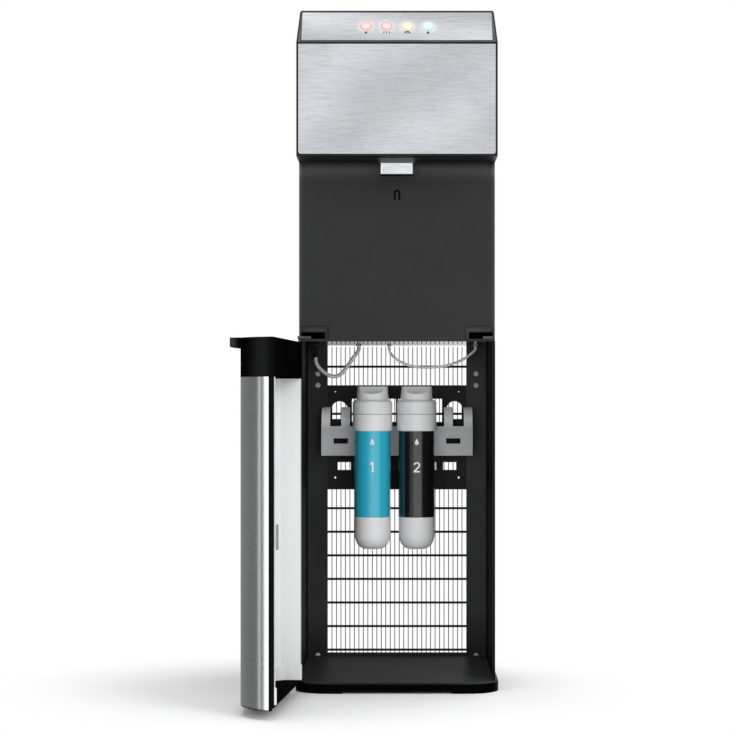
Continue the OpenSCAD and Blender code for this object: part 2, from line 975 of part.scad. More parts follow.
// Drain outlet with its screw cap
module drain_plug() {
    neck_l = 10;
    neck = 20;
    cap_l = 8;
    cap = 26;
    color(charcoal)
        union() {
            rod_y(drain_at, y_rear, y_rear + neck_l, neck);
            rod_y(drain_at, y_rear + neck_l - eps, y_rear + neck_l + cap_l, cap);
        }
}

// Gland for the mains cord, open to the rear
module cord_gland() {
    brim = 24;
    brim_l = 4;
    nose = 16;
    nose_l = 14;
    bore = 8;
    floor_t = 2;
    color(charcoal)
        difference() {
            union() {
                rod_y(gland_at, y_rear, y_rear + brim_l, brim);
                rod_y(gland_at, y_rear, y_rear + nose_l, nose);
            }
            rod_y(gland_at, y_rear + floor_t, y_rear + nose_l + eps, bore);
        }
}

// Centre of the hot (-1) or cold (1) rocker
module at_rocker(side) {
    translate([switch_at.x + side * rocker_pitch / 2, y_rear + frame_d - rocker_sink, switch_at.y])
        children();
}

module rocker_axle(d, l) {
    translate([-l / 2, 0, 0])
        rotate([0, 90, 0])
            cylinder(d = d, h = l);
}

module switch_frame() {
    pocket_w = rocker_w + 2 * fit;
    pocket_h = rocker_h + rocker_room;
    frame_w = rocker_pitch + pocket_w + 2 * frame_rim;
    frame_h = pocket_h + 2 * frame_rim;
    color(charcoal)
        difference() {
            block([switch_at.x - frame_w / 2, y_rear, switch_at.y - frame_h / 2],
                [switch_at.x + frame_w / 2, y_rear + frame_d, switch_at.y + frame_h / 2]);
            for (s = [-1, 1])
                at_rocker(s) {
                    cube([pocket_w, 2 * frame_d, pocket_h], center = true);
                    rocker_axle(rocker_pin_d + 2 * pin_fit, rocker_w + 2 * rocker_pin_l + 2 * fit);
                }
        }
}

module rocker(side) {
    color(side < 0 ? "#b8322c" : "#2f6db3")
        at_rocker(side)
            union() {
                cube([rocker_w, rocker_t, rocker_h], center = true);
                rocker_axle(rocker_pin_d, rocker_w + 2 * rocker_pin_l);
            }
}

module switch_hot() {
    rocker(-1);
}

module switch_cold() {
    rocker(1);
}

// Plan of the alcove panel's skin: a shallow tray with rounded front corners
module alcove_plan() {
    inner = alcove_round - alcove_t;
    difference() {
        polygon(rounded(half_w, y_front, y_front + alcove_return, alcove_round, seam));
        polygon(rounded(half_w - alcove_t, y_front + alcove_t, y_front + alcove_return + eps, inner, seam));
    }
}

// Cove between the panel and the head's underside
module cove() {
    along_x(alcove_round - half_w, half_w - alcove_round)
        polygon(concat([[y_front + seam, head_z], [y_front + seam, head_z - cove_r]],
            arc([y_front - cove_r, head_z - cove_r], cove_r, 0, 80),
            [[y_front - cove_r, head_z]]));
}

// Outline of the sensor window with an arched top
module sensor_outline(gap) {
    w = sensor_w + 2 * gap;
    z0 = sensor_z - sensor_h / 2 - gap;
    z1 = sensor_z + sensor_h / 2 - sensor_w / 2;
    polygon(concat([[-w / 2, z0], [w / 2, z0]], arc([0, z1], w / 2, 0, 180)));
}

// Outline in the X-Z plane, drawn along Y between two places
module along_y(y0, y1) {
    translate([0, y1, 0])
        rotate([90, 0, 0])
            linear_extrude(y1 - y0)
                children();
}

// Room of a hinge pocket, grown by a wall: it gets narrower and lower towards its back
module pocket_room(wall, outer, y0, y1, z0) {
    taper = 7;
    drop = 11;
    inner = half_w - alcove_t - pocket_w - wall;
    top = deck_z + pocket_h + wall;
    intersection() {
        translate([0, 0, z0])
            linear_extrude(top - z0)
                polygon([[inner, y0], [outer, y0], [outer, y1], [inner + taper, y1]]);
        along_x(inner, outer)
            polygon([[y0, z0], [y0, top], [y1, top - drop], [y1, z0]]);
    }
}

module alcove_panel() {
    pocket_wall = 2;
    pocket_back = y_front + pocket_d;
    color(charcoal)
        difference() {
            union() {
                translate([0, 0, deck_z])
                    linear_extrude(head_z - deck_z)
                        alcove_plan();
                cove();
                both_sides()
                    pocket_room(pocket_wall, half_w - alcove_t + eps, y_front + alcove_t / 2, pocket_back,
                        deck_top + seam);
            }
            along_y(y_front - eps, y_front + alcove_t + eps)
                sensor_outline(seam);
            both_sides()
                pocket_room(0, half_w - alcove_t - seam, y_front - eps, pocket_back + eps, deck_z - eps);
        }
}

module sensor_lens() {
    color(black)
        along_y(y_front - seam, y_front + alcove_t)
            sensor_outline(0);
}

// Bracket on the deck that comes forward through the panel's hinge pocket
module hinge_plate() {
    plate_h = 4;
    plate_w = 15;
    plate_l = 40;
    left = -half_w + alcove_t + 1;
    block([left, y_front - door_gap, deck_top], [left + plate_w, y_front + plate_l, deck_top + plate_h]);
}

module hinge_upper() {
    arm_h = 4;
    arm_r = 3.4;
    arm_end = -half_w + alcove_t + 2 * arm_r;
    color(black)
        union() {
            hinge_plate();
            translate([hinge_x, hinge_y, deck_top])
                cylinder(r = arm_r, h = arm_h);
            block([min(hinge_x, arm_end), hinge_y - arm_r, deck_top],
                [max(hinge_x, arm_end), hinge_y + arm_r, deck_top + arm_h]);
            translate([hinge_x, hinge_y, cap_top - pin_grip])
                cylinder(d = pin_d, h = deck_top + arm_h - cap_top + pin_grip);
        }
}

module hinge_blank() {
    color(black)
        mirror([1, 0, 0])
            hinge_plate();
}

module hinge_pin() {
    color(steel)
        translate([hinge_x, hinge_y, base_h - pin_seat])
            cylinder(d = pin_d, h = pin_seat + door_lift + pin_grip);
}

// Points of the door's outer outline, drawn in by a distance: [X, depth]
function door_points(inset) = concat(
    arc(side_c, side_r - inset, edge_turn, bow_turn, side_steps),
    arc(bow_c, bow_r - inset, bow_turn, 180 - bow_turn, bow_steps),
    arc([-side_c.x, side_c.y], side_r - inset, 180 - bow_turn, 180 - edge_turn, side_steps)
);

// Plan of the door: everything behind the outline, from depth d0, up to x from the middle
module door_plan(inset, x, d0 = 0) {
    deep = 2 * door_bulge;
    intersection() {
        polygon(concat([[door_w / 2 - inset, -eps]], door_points(inset), [[inset - door_w / 2, -eps]]));
        translate([-x, d0])
            square([2 * x, deep]);
    }
}

// Turns a piece that is drawn on the shut door to where the door stands open
module on_door() {
    translate([hinge_x, hinge_y, 0])
        rotate(-door_angle)
            translate([-hinge_x, -hinge_y, 0])
                children();
}

// Extrudes a plan of the door between two levels, on the shut door
module door_slab(z0, z1) {
    translate([0, y_front - door_gap, z0])
        mirror([0, 1, 0])
            linear_extrude(z1 - z0)
                children();
}

module hinge_bore(z0, z1) {
    translate([hinge_x, hinge_y, z0])
        cylinder(d = pin_d + 2 * pin_fit, h = z1 - z0);
}

// Plan of the door's steel skin
module skin_plan() {
    difference() {
        door_plan(0, door_w / 2, door_edge);
        door_plan(skin_t, door_w / 2);
    }
}

// Skin of the door: below the foot it hangs in front of the base as an apron
module door_skin() {
    color(steel)
        on_door()
            union() {
                door_slab(door_z, cap_z)
                    skin_plan();
                door_slab(door_z - apron, door_z + eps)
                    intersection() {
                        skin_plan();
                        translate([-recess_x, 0])
                            square([recess_x + door_w, 2 * door_bulge]);
                    }
            }
}

// Black trim on one vertical edge of the door
module door_trim(side) {
    outer = side * door_w / 2;
    inner = side * liner_x;
    door_slab(door_z, cap_z)
        translate([min(outer, inner), 0])
            square([trim_w, door_edge]);
}

module door_edge_free() {
    apron_in = 2.2;
    apron_w = 5;
    color(black)
        on_door()
            union() {
                door_trim(1);
                door_slab(door_z - apron, door_z + eps)
                    translate([door_w / 2 - apron_w, apron_in])
                        square([apron_w, door_edge - apron_in]);
            }
}

module door_edge_hinge() {
    color(black)
        on_door()
            difference() {
                door_trim(-1);
                hinge_bore(door_z - eps, door_z + pin_grip + fit);
            }
}

// White liner: a border around a deep recess, with a corner block at each lower end
module door_liner() {
    skirting_h = 22;
    skirting_t = 4;
    color(white)
        on_door()
            difference() {
                union() {
                    door_slab(liner_z, cap_z)
                        difference() {
                            door_plan(liner_inset, liner_x - seam);
                            door_plan(liner_inset + liner_t, recess_x, -eps);
                        }
                    door_slab(liner_z, liner_z + skirting_h)
                        difference() {
                            door_plan(liner_inset, liner_x - seam);
                            door_plan(liner_inset + liner_t + skirting_t, recess_x, -eps);
                        }
                    both_sides()
                        block([recess_x + eps, y_front - door_gap - eps, liner_z],
                            [recess_x + eps + block_w, y_front - door_gap + block_t, liner_z + block_h]);
                }
                block([-liner_x - eps, y_front - door_gap - slot_d, slot_z],
                    [eps - recess_x, y_front - door_gap - slot_d + slot_t, slot_z + slot_h]);
            }
}

module door_foot() {
    color(black)
        on_door()
            door_slab(door_z, liner_z)
                door_plan(liner_inset, liner_x - seam);
}

// Cap along the top of the door: tray well, pull lip and upper hinge bore
module door_cap() {
    color(black)
        on_door()
            difference() {
                union() {
                    door_slab(cap_z, cap_top)
                        door_plan(0, door_w / 2);
                    door_slab(cap_top - lip_t, cap_top)
                        door_plan(-lip_reach, door_w / 2 - lip_inset, door_edge);
                }
                door_slab(cap_z + cap_floor, cap_top + eps)
                    door_plan(cap_wall, well_x, cap_wall);
                hinge_bore(cap_top - pin_grip - fit, cap_top + eps);
            }
}

// Plan of the room inside the tray's walls
module tray_room(inset) {
    door_plan(inset + tray_wall, well_x - fit - tray_wall, inset + tray_wall);
}

module drip_tray() {
    z0 = cap_z + cap_floor + fit;
    z1 = cap_top - fit;
    inset = cap_wall + fit;
    rib_t = 3;
    seat_z = z1 - grate_t - fit;
    straight = bow_c.y + sqrt(pow(bow_r - inset - tray_wall, 2) - pow(straight_x, 2));
    color(charcoal)
        on_door()
            union() {
                difference() {
                    door_slab(z0, z1)
                        door_plan(inset, well_x - fit, inset);
                    door_slab(z0 + tray_wall, seat_z + eps)
                        intersection() {
                            tray_room(inset);
                            translate([-well_x, 0])
                                square([2 * well_x, straight]);
                        }
                    door_slab(seat_z, z1 + eps)
                        tray_room(inset);
                }
                both_sides()
                    door_slab(z0 + tray_wall - seam, seat_z)
                        translate([well_x / 2, inset + tray_wall - seam])
                            square([rib_t, door_bulge / 2]);
            }
}

// Grate with slots across the drip tray
module drip_grate() {
    inset = cap_wall + tray_wall + 2 * fit;
    rim = 7;
    x = well_x - tray_wall - 2 * fit;
    slots = floor((x - rim) / (slot_w + bar_w));
    color(steel)
        on_door()
            door_slab(cap_top - fit - grate_t, cap_top - fit)
                difference() {
                    door_plan(inset, x, inset);
                    intersection() {
                        door_plan(inset + rim, x - rim, inset + rim);
                        for (i = [-slots : slots])
                            translate([i * (slot_w + bar_w) - slot_w / 2, 0])
                                square([slot_w, 2 * door_bulge]);
                    }
                }
}

// Middle of the sloping strip: X along the strip, Y up it and Z out of it
module on_slope() {
    translate([0, head_y + slope_d / 2, body_h - slope_h / 2])
        rotate([slope_a, 0, 0])
            children();
}

// Place of a button, counted from the left
module at_button(i) {
    on_slope()
        translate([(i - 1.5) * button_pitch, -button_drop, 0])
            children();
}

// The head as seen from the front, drawn in by a distance: it narrows from the strip's lower edge up
module head_front(inset) {
    head_round = 4;
    x = half_w - head_taper - inset;
    top = body_h - inset;
    r = head_round - inset / 2;
    along_y(head_y - eps, y_rear + 2 * eps)
        polygon(concat(
            [[half_w - inset, deck_z], [half_w - inset, slope_z]],
            arc([x - r, top - r], r, 0, 90),
            arc([r - x, top - r], r, 90, 180),
            [[inset - half_w, slope_z], [inset - half_w, deck_z]]));
}

module head_shell() {
    floor_y = y_front + alcove_return;
    color(black)
        difference() {
            intersection() {
                along_x(-half_w, half_w)
                    polygon([[head_y, head_z], [head_y, slope_z], [head_y + slope_d, body_h],
                        [y_rear, body_h], [y_rear, head_z]]);
                head_front(0);
            }
            intersection() {
                along_x(head_wall - half_w, half_w - head_wall)
                    polygon([[head_y + head_wall, head_z + head_wall], [head_y + head_wall, inner_z0],
                        [inner_y1, body_h - head_wall], [y_rear + eps, body_h - head_wall],
                        [y_rear + eps, head_z - eps], [floor_y, head_z - eps],
                        [floor_y, head_z + head_wall]]);
                head_front(head_wall);
            }
            block([-lid_x, lid_front, body_h - head_wall - eps], [lid_x, lid_rear, body_h + eps]);
            for (i = [0 : 3])
                at_button(i)
                    translate([0, 0, -2 * head_wall])
                        cylinder(d = button_d + 2 * button_fit, h = 4 * head_wall);
        }
}

// Brushed plate on the front of the head, with rounded lower corners
module front_plate() {
    x = half_w - plate_border;
    color(steel)
        along_y(head_y - plate_t, head_y)
            polygon(rounded(x, head_z + plate_border, slope_z - plate_border, plate_corner, plate_t));
}

module control_plate() {
    x = half_w - strip_border;
    y = slope_l / 2 - plate_border;
    color(steel)
        difference() {
            on_slope()
                block([-x, -y, 0], [x, y, plate_t]);
            for (i = [0 : 3])
                at_button(i)
                    translate([0, 0, -eps])
                        cylinder(d = button_d + 2 * button_fit, h = plate_t + 2 * eps);
        }
}

// Push button: cap, retaining flange under the shell and a stem over the board
module button(i, tint) {
    color(tint)
        at_button(i)
            union() {
                translate([0, 0, flange_top - eps])
                    cylinder(d = button_d, h = plate_t + button_proud - flange_top + eps);
                translate([0, 0, flange_top - flange_t])
                    cylinder(d = button_d + 2 * button_flange, h = flange_t);
                translate([0, 0, flange_top - flange_t - stem_l])
                    cylinder(d = stem_d, h = stem_l + eps);
            }
}

module button_lock() {
    button(0, "#e86a66");
}

module button_hot() {
    button(1, "#e2504c");
}

module button_room() {
    button(2, "#f0d060");
}

module button_cold() {
    button(3, "#62c4e4");
}

// Board under the buttons on four posts from the shell
module control_board() {
    color("#2f6b3c")
        on_slope()
            union() {
                block([-board_x, -board_y, board_top - board_t], [board_x, board_y, board_top]);
                both_sides()
                    for (y = [-1, 1])
                        translate([board_x - post_d, y * (board_y - post_d), board_top - eps])
                            cylinder(d = post_d, h = eps - head_wall - board_top);
            }
}

// Lid set into the top of the head
module top_cover() {
    rim = 6;
    color(charcoal)
        union() {
            block([fit - lid_x, lid_front + fit, body_h - head_wall],
                [lid_x - fit, lid_rear - fit, body_h - fit]);
            block([-lid_x - rim, lid_front - rim, body_h - head_wall - lid_t],
                [lid_x + rim, lid_rear + rim, body_h - head_wall]);
        }
}

// Plan of the spout, grown by a distance
module spout_plan(grow) {
    corner = 5;
    translate([0, spout_y])
        polygon(rounded(spout_w / 2 + grow, -spout_d / 2 - grow, spout_d / 2 + grow, corner, corner));
}

module spout_base() {
    color(charcoal)
        union() {
            translate([0, 0, spout_base_z])
                linear_extrude(spout_base_h)
                    spout_plan(1);
            translate([0, 0, head_z - collar_drop - collar_t])
                linear_extrude(collar_t)
                    spout_plan(collar_reach);
        }
}

module spout_cover() {
    color(steel)
        difference() {
            translate([0, 0, spout_z])
                linear_extrude(spout_h)
                    spout_plan(0);
            translate([0, 0, spout_z - eps])
                linear_extrude(spout_h - spout_wall + eps)
                    spout_plan(-spout_wall);
        }
}

module nozzles() {
    tip = 2;
    color(white)
        for (s = [-1, 1])
            translate([s * nozzle_pitch / 2, spout_y, spout_z + tip])
                difference() {
                    cylinder(d = nozzle_d, h = spout_h - spout_wall - tip);
                    translate([0, 0, -eps])
                        cylinder(d = nozzle_bore, h = spout_h - spout_wall - 2 * tip);
                }
}

base();
rubber_feet();
side_left();
side_right();
deck();
rear_panel();
rear_sill();
back_plate();
filter_bracket();
filter_head_left();
filter_head_right();
cartridge_left();
cartridge_right();
label_left();
label_right();
inlet_hose();
outlet_tube();
inlet_elbow();
deck_grommets();
flange_screws();
condenser_tube();
condenser_wires();
condenser_clips();
compressor();
compressor_mounts();
cold_tank();
hot_tank();
tank_valves();
inlet_port();
drain_plug();
cord_gland();
switch_frame();
switch_hot();
switch_cold();
alcove_panel();
sensor_lens();
hinge_upper();
hinge_blank();
hinge_pin();
door_skin();
door_edge_free();
door_edge_hinge();
door_liner();
door_foot();
door_cap();
drip_tray();
drip_grate();
head_shell();
front_plate();
control_plate();
button_lock();
button_hot();
button_room();
button_cold();
control_board();
top_cover();
spout_base();
spout_cover();
nozzles();
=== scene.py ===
import math

import bpy
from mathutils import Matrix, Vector


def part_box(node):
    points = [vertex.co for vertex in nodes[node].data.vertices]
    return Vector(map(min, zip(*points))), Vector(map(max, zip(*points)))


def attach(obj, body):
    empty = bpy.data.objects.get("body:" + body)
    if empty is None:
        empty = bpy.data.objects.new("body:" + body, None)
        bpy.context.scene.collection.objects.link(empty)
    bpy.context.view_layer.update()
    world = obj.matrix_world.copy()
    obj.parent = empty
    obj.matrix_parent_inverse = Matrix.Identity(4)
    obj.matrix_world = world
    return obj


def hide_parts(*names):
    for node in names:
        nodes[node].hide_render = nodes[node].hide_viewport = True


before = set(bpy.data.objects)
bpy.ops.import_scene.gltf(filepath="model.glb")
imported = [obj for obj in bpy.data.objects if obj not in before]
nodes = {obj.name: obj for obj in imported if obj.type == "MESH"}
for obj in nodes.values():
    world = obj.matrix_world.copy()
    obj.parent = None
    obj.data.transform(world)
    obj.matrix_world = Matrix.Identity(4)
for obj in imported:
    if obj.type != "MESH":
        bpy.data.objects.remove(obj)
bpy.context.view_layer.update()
MM = 0.001

# Camera at the height of the filters, level, as the photograph was taken
CAMERA_AT = (0.0, -3.503, 0.453)
LENS = 105.65
SHIFT = (-0.0394, 0.0435)
CLIP_END = 100
camera_data = bpy.data.cameras.new("camera")
camera_data.lens = LENS
camera_data.shift_x, camera_data.shift_y = SHIFT
camera_data.clip_end = CLIP_END
camera = bpy.data.objects.new("camera", camera_data)
camera.location = CAMERA_AT
camera.rotation_euler = (math.pi / 2, 0, 0)
bpy.context.scene.collection.objects.link(camera)
bpy.context.scene.camera = camera
bpy.context.scene.view_settings.view_transform = "Standard"


# Materials

NOISE_RANGE = (0.3, 0.7)
SPECK_RANGE = (0.35, 0.65)
DUST_RANGE = (0.35, 0.75)
WHITE = (1, 1, 1, 1)
BLACK = (0, 0, 0, 1)


class Paint:
    """A material that is built up node by node, in the frame's own metres."""

    def __init__(self, name, rough=0.4, metal=0.0, **sockets):
        self.mat = bpy.data.materials.new(name)
        self.mat.use_nodes = True
        self.tree = self.mat.node_tree
        self.bsdf = self.tree.nodes["Principled BSDF"]
        self.bsdf.inputs["Roughness"].default_value = rough
        self.bsdf.inputs["Metallic"].default_value = metal
        for socket, value in sockets.items():
            self.bsdf.inputs[socket.replace("_", " ")].default_value = value
        self.place = self.add("ShaderNodeTexCoord").outputs["Object"]

    def add(self, kind, links=(), values=(), **settings):
        """A node with its settings, constant inputs and links."""
        node = self.tree.nodes.new(kind)
        for name, value in settings.items():
            setattr(node, name, value)
        for socket, value in dict(values).items():
            node.inputs[socket].default_value = value
        for socket, source in dict(links).items():
            self.tree.links.new(source, node.inputs[socket])
        return node

    def into(self, socket, source):
        """Link a source to a socket of the surface."""
        self.tree.links.new(source, self.bsdf.inputs[socket])

    def stretched(self, scale):
        """The place, stretched on each axis."""
        return self.add("ShaderNodeMapping", {"Vector": self.place}, {"Scale": scale}).outputs[0]

    def noise(self, scale, detail=3.0, vector=None, rough=0.5):
        """Noise of a number of spots to the metre."""
        node = self.add("ShaderNodeTexNoise", {"Vector": vector or self.place},
                        {"Scale": scale, "Detail": detail, "Roughness": rough})
        return node.outputs["Fac"]

    def ramp(self, factor, stops):
        """A colour that runs through stops of place and colour."""
        node = self.add("ShaderNodeValToRGB", {"Fac": factor})
        ramp = node.color_ramp
        while len(ramp.elements) < len(stops):
            ramp.elements.new(0.5)
        for element, (at, colour) in zip(ramp.elements, stops):
            element.position = at
            element.color = colour
        return node.outputs["Color"]

    def spread(self, factor, low, high):
        """A noise spread over the values from low to high."""
        start, stop = NOISE_RANGE
        node = self.add("ShaderNodeMapRange", {"Value": factor},
                        {"From Min": start, "From Max": stop, "To Min": low, "To Max": high})
        return node.outputs[0]

    def mottle(self, colour, low, high, scale, detail, span=NOISE_RANGE):
        """A colour that a noise makes darker in some patches and lighter in others."""
        start, stop = span
        return self.ramp(self.noise(scale=scale, detail=detail),
                         [(start, tint(colour, low)), (stop, tint(colour, high))])

    def math(self, operation, a, b=None):
        """A sum on one or two inputs, each a link or a number."""
        node = self.add("ShaderNodeMath", operation=operation)
        for socket, value in zip(node.inputs, (a, b)):
            if value is None:
                continue
            if isinstance(value, (int, float)):
                socket.default_value = value
            else:
                self.tree.links.new(value, socket)
        return node.outputs[0]

    def mix(self, factor, a, b, blend="MIX"):
        """Two colours mixed, each a link or a constant."""
        node = self.add("ShaderNodeMix", data_type="RGBA", blend_type=blend)
        for socket, value in ((node.inputs[0], factor), (node.inputs[6], a), (node.inputs[7], b)):
            if hasattr(value, "is_output"):
                self.tree.links.new(value, socket)
            else:
                socket.default_value = value
        return node.outputs[2]

    def along(self, colour, axis, start, stop, levels):
        """Painted light and shade: a colour made lighter or darker by levels at even steps between two
        places on an axis or along a direction, or, with the axis "up", by how far the face looks up."""
        if axis == "up":
            normal = self.add("ShaderNodeNewGeometry").outputs["Normal"]
            place = self.add("ShaderNodeSeparateXYZ", {"Vector": normal}).outputs["Z"]
        elif isinstance(axis, tuple):
            place = self.reach(axis)
        else:
            place = self.add("ShaderNodeSeparateXYZ", {"Vector": self.place}).outputs[axis]
        share = self.add("ShaderNodeMapRange", {"Value": place}, {"From Min": start, "From Max": stop})
        steps = [(i / (len(levels) - 1), (level,) * 3 + (1,)) for i, level in enumerate(levels)]
        return self.mix(1.0, colour, self.ramp(share.outputs[0], steps), "MULTIPLY")

    def reach(self, way):
        """How far a place lies along a direction."""
        return self.add("ShaderNodeVectorMath", {0: self.place}, {1: way},
                        operation="DOT_PRODUCT").outputs["Value"]

    def bands(self, colour, way, period, ridge, depth):
        """A colour under soft bands of light that cross it square to a direction."""
        phase = self.math("MULTIPLY", self.math("SUBTRACT", self.reach(way), ridge), 2 * math.pi / period)
        level = self.math("ADD", self.math("MULTIPLY", self.math("COSINE", phase), depth), 1.0)
        return self.mix(1.0, colour, level, "MULTIPLY")

    def bump(self, height, strength, distance):
        """Fine relief on the surface."""
        node = self.add("ShaderNodeBump", {"Height": height},
                        {"Strength": strength, "Distance": distance})
        self.into("Normal", node.outputs[0])

    def worn(self, colour, light, amount):
        """Edges rubbed a little lighter."""
        point = self.add("ShaderNodeNewGeometry").outputs["Pointiness"]
        edge = self.ramp(point, [(0.52, BLACK), (0.62, WHITE)])
        patch = self.ramp(self.noise(scale=60, detail=4), [(0.35, BLACK), (0.75, (amount,) * 3 + (1,))])
        return self.mix(self.math("MULTIPLY", edge, patch), colour, light)


def tint(colour, by):
    """A colour made lighter or darker, with its alpha."""
    return tuple(min(1.0, c * by) for c in colour[:3]) + (1.0,)


def plastic(name, colour, rough, grain=0.12, grain_size=1400, vary=0.1, wear=0.25, patchy=1.0,
            painted_shades=(), **sockets):
    """Moulded plastic: fine sparked grain, faint flow marks and slightly uneven gloss."""
    paint = Paint(name, rough, **sockets)
    flow = paint.mottle(colour, 1 - vary, 1 + vary, scale=9, detail=4)
    speck = paint.mottle(WHITE, 1 - vary, 1.0, scale=grain_size * 0.6, detail=2, span=SPECK_RANGE)
    body = paint.mix(1.0, flow, speck, "MULTIPLY")
    # painted light and shade, where given
    for shade in painted_shades:
        body = paint.along(body, *shade)
    paint.into("Base Color", paint.worn(body, tint(colour, 1.8), wear))
    gloss = paint.spread(paint.noise(scale=35, detail=5), rough - 0.05 * patchy, rough + 0.06 * patchy)
    paint.into("Roughness", gloss)
    paint.bump(paint.noise(scale=grain_size, detail=2), strength=grain, distance=0.0002)
    return paint.mat


def ribbed(name, colour, rough, pitch):
    """Moulded white plastic with faint level rings round it."""
    paint = Paint(name, rough)
    flow = paint.mottle(colour, 0.975, 1.02, scale=12, detail=4)
    height = paint.add("ShaderNodeSeparateXYZ", {"Vector": paint.place}).outputs["Z"]
    wave = paint.math("SINE", paint.math("MULTIPLY", height, 2 * math.pi / pitch))
    ring = paint.ramp(wave, [(0.0, (0.972, 0.972, 0.973, 1)), (0.5, WHITE)])
    paint.into("Base Color", paint.mix(1.0, flow, ring, "MULTIPLY"))
    paint.into("Roughness", paint.spread(paint.noise(scale=60, detail=4), rough - 0.04, rough + 0.05))
    paint.bump(wave, strength=0.05, distance=0.0002)
    return paint.mat


def powder_coat(name, colour, rough, peel=0.16, gloss=0.3, painted_shades=()):
    """Powder-coated sheet steel with its fine orange peel."""
    paint = Paint(name, rough, Specular_IOR_Level=gloss)
    flow = paint.mottle(colour, 0.88, 1.12, scale=14, detail=5)
    # painted light and shade, where given
    for shade in painted_shades:
        flow = paint.along(flow, *shade)
    paint.into("Base Color", paint.worn(flow, tint(colour, 2.4), 0.5))
    paint.into("Roughness", paint.spread(paint.noise(scale=120, detail=4), rough * 0.88, rough * 1.15))
    fine = paint.math("MULTIPLY", paint.noise(scale=1900, detail=2), 0.5)
    skin = paint.math("ADD", paint.noise(scale=520, detail=2), fine)
    paint.bump(skin, strength=peel, distance=0.0003)
    return paint.mat


HAIR_SCALE = 2600
STREAK_SCALE = 620
HAIR_STRETCH = 0.05


def brushed(name, colour, rough, along="X", depth=0.05, cloud=(3, 3, 3), painted_shades=(), sheen=None):
    """Brushed stainless steel: short fine streaks in one direction under an uneven painted sheen."""
    paint = Paint(name, rough, 1.0, Anisotropic=0.5)
    turn = {"X": (HAIR_STRETCH, 1, 1), "Y": (1, HAIR_STRETCH, 1)}[along]
    hair_place = paint.stretched(tuple(HAIR_SCALE * t for t in turn))
    hair = paint.noise(scale=1.0, detail=2, vector=hair_place, rough=0.6)
    wide_place = paint.stretched(tuple(STREAK_SCALE * t for t in turn))
    wide = paint.noise(scale=1.0, detail=3, vector=wide_place)
    both = paint.math("ADD", paint.math("MULTIPLY", hair, 0.5), paint.math("MULTIPLY", wide, 0.5))
    tone = paint.ramp(both, [(0.38, tint(colour, 0.84)), (0.5, tint(colour, 1.0)),
                             (0.62, tint(colour, 1.12))])
    # painted sheen: a broad cloudy haze that makes the steel lighter in some patches and darker in others
    haze_and_sheen = paint.ramp(paint.noise(scale=1.0, detail=2, vector=paint.stretched(cloud)),
                      [(0.36, (0.86, 0.865, 0.872, 1)), (0.64, WHITE)])
    body = paint.mix(1.0, tone, haze_and_sheen, "MULTIPLY")
    # painted light and shade, then painted bands of reflected light, where given
    for shade in painted_shades:
        body = paint.along(body, *shade)
    if sheen:
        body = paint.bands(body, **sheen)
    paint.into("Base Color", body)
    paint.into("Roughness", paint.spread(both, rough - 0.05, rough + 0.07))
    paint.bump(hair, strength=depth, distance=0.0001)
    tangent = paint.add("ShaderNodeTangent", direction_type="RADIAL", axis="Z")
    paint.into("Tangent", tangent.outputs[0])
    return paint


def polished(name, colour, rough):
    """Plated or polished metal with hairline marks."""
    paint = Paint(name, rough, 1.0)
    mark = paint.noise(scale=240, detail=5, rough=0.7)
    paint.into("Base Color", paint.ramp(mark, [(0.3, tint(colour, 0.9)), (0.7, tint(colour, 1.05))]))
    paint.into("Roughness", paint.spread(mark, rough * 0.7, rough * 1.6))
    paint.bump(paint.noise(scale=700, detail=2), strength=0.04, distance=0.0001)
    return paint.mat


def rubber(name, colour):
    """Matt rubber with a little dust."""
    paint = Paint(name, 0.8, Specular_IOR_Level=0.3)
    paint.into("Base Color", paint.mottle(colour, 0.85, 1.35, scale=45, detail=5, span=DUST_RANGE))
    paint.into("Roughness", paint.spread(paint.noise(scale=160, detail=4), 0.7, 0.88))
    paint.bump(paint.noise(scale=1100, detail=3), strength=0.3, distance=0.0003)
    return paint.mat


def printed(name, colour, rough, film=0.4):
    """A printed surface: even ink over a soft broad tone, under clear film."""
    paint = Paint(name, rough, Coat_Weight=film, Coat_Roughness=0.1)
    ink = paint.mottle(colour, 0.97, 1.03, scale=900, detail=2, span=SPECK_RANGE)
    tone = paint.mottle(WHITE, 0.96, 1.0, scale=6, detail=2)
    paint.into("Base Color", paint.mix(1.0, ink, tone, "MULTIPLY"))
    paint.into("Roughness", paint.spread(paint.noise(scale=40, detail=2), rough - 0.02, rough + 0.02))
    paint.bump(paint.noise(scale=300, detail=1), strength=0.008, distance=0.0002)
    return paint.mat


def arched_lens(name, rim, inside, middle, half, band):
    """A dark window with an arched top, drawn as a black rim round a paler field."""
    paint = Paint(name, 0.35, Specular_IOR_Level=0.02)
    split = paint.add("ShaderNodeSeparateXYZ", {"Vector": paint.place})
    across = paint.math("ABSOLUTE", split.outputs["X"])
    above = paint.math("MAXIMUM", paint.math("SUBTRACT", split.outputs["Z"], middle), 0.0)
    far = paint.math("SQRT", paint.math("ADD", paint.math("MULTIPLY", across, across),
                                        paint.math("MULTIPLY", above, above)))
    edge = (half - band) / half
    share = paint.math("DIVIDE", far, half)
    field = paint.ramp(share, [(0.0, tint(inside, 1.05)), (edge - 0.05, tint(inside, 0.95)),
                               (edge + 0.05, tint(rim, 1)), (1.0, tint(rim, 1))])
    speck = paint.mottle(WHITE, 0.9, 1.0, scale=700, detail=2, span=SPECK_RANGE)
    paint.into("Base Color", paint.mix(1.0, field, speck, "MULTIPLY"))
    paint.into("Roughness", paint.spread(paint.noise(scale=120, detail=3), 0.3, 0.42))
    paint.bump(paint.noise(scale=900, detail=2), strength=0.03, distance=0.0001)
    return paint.mat


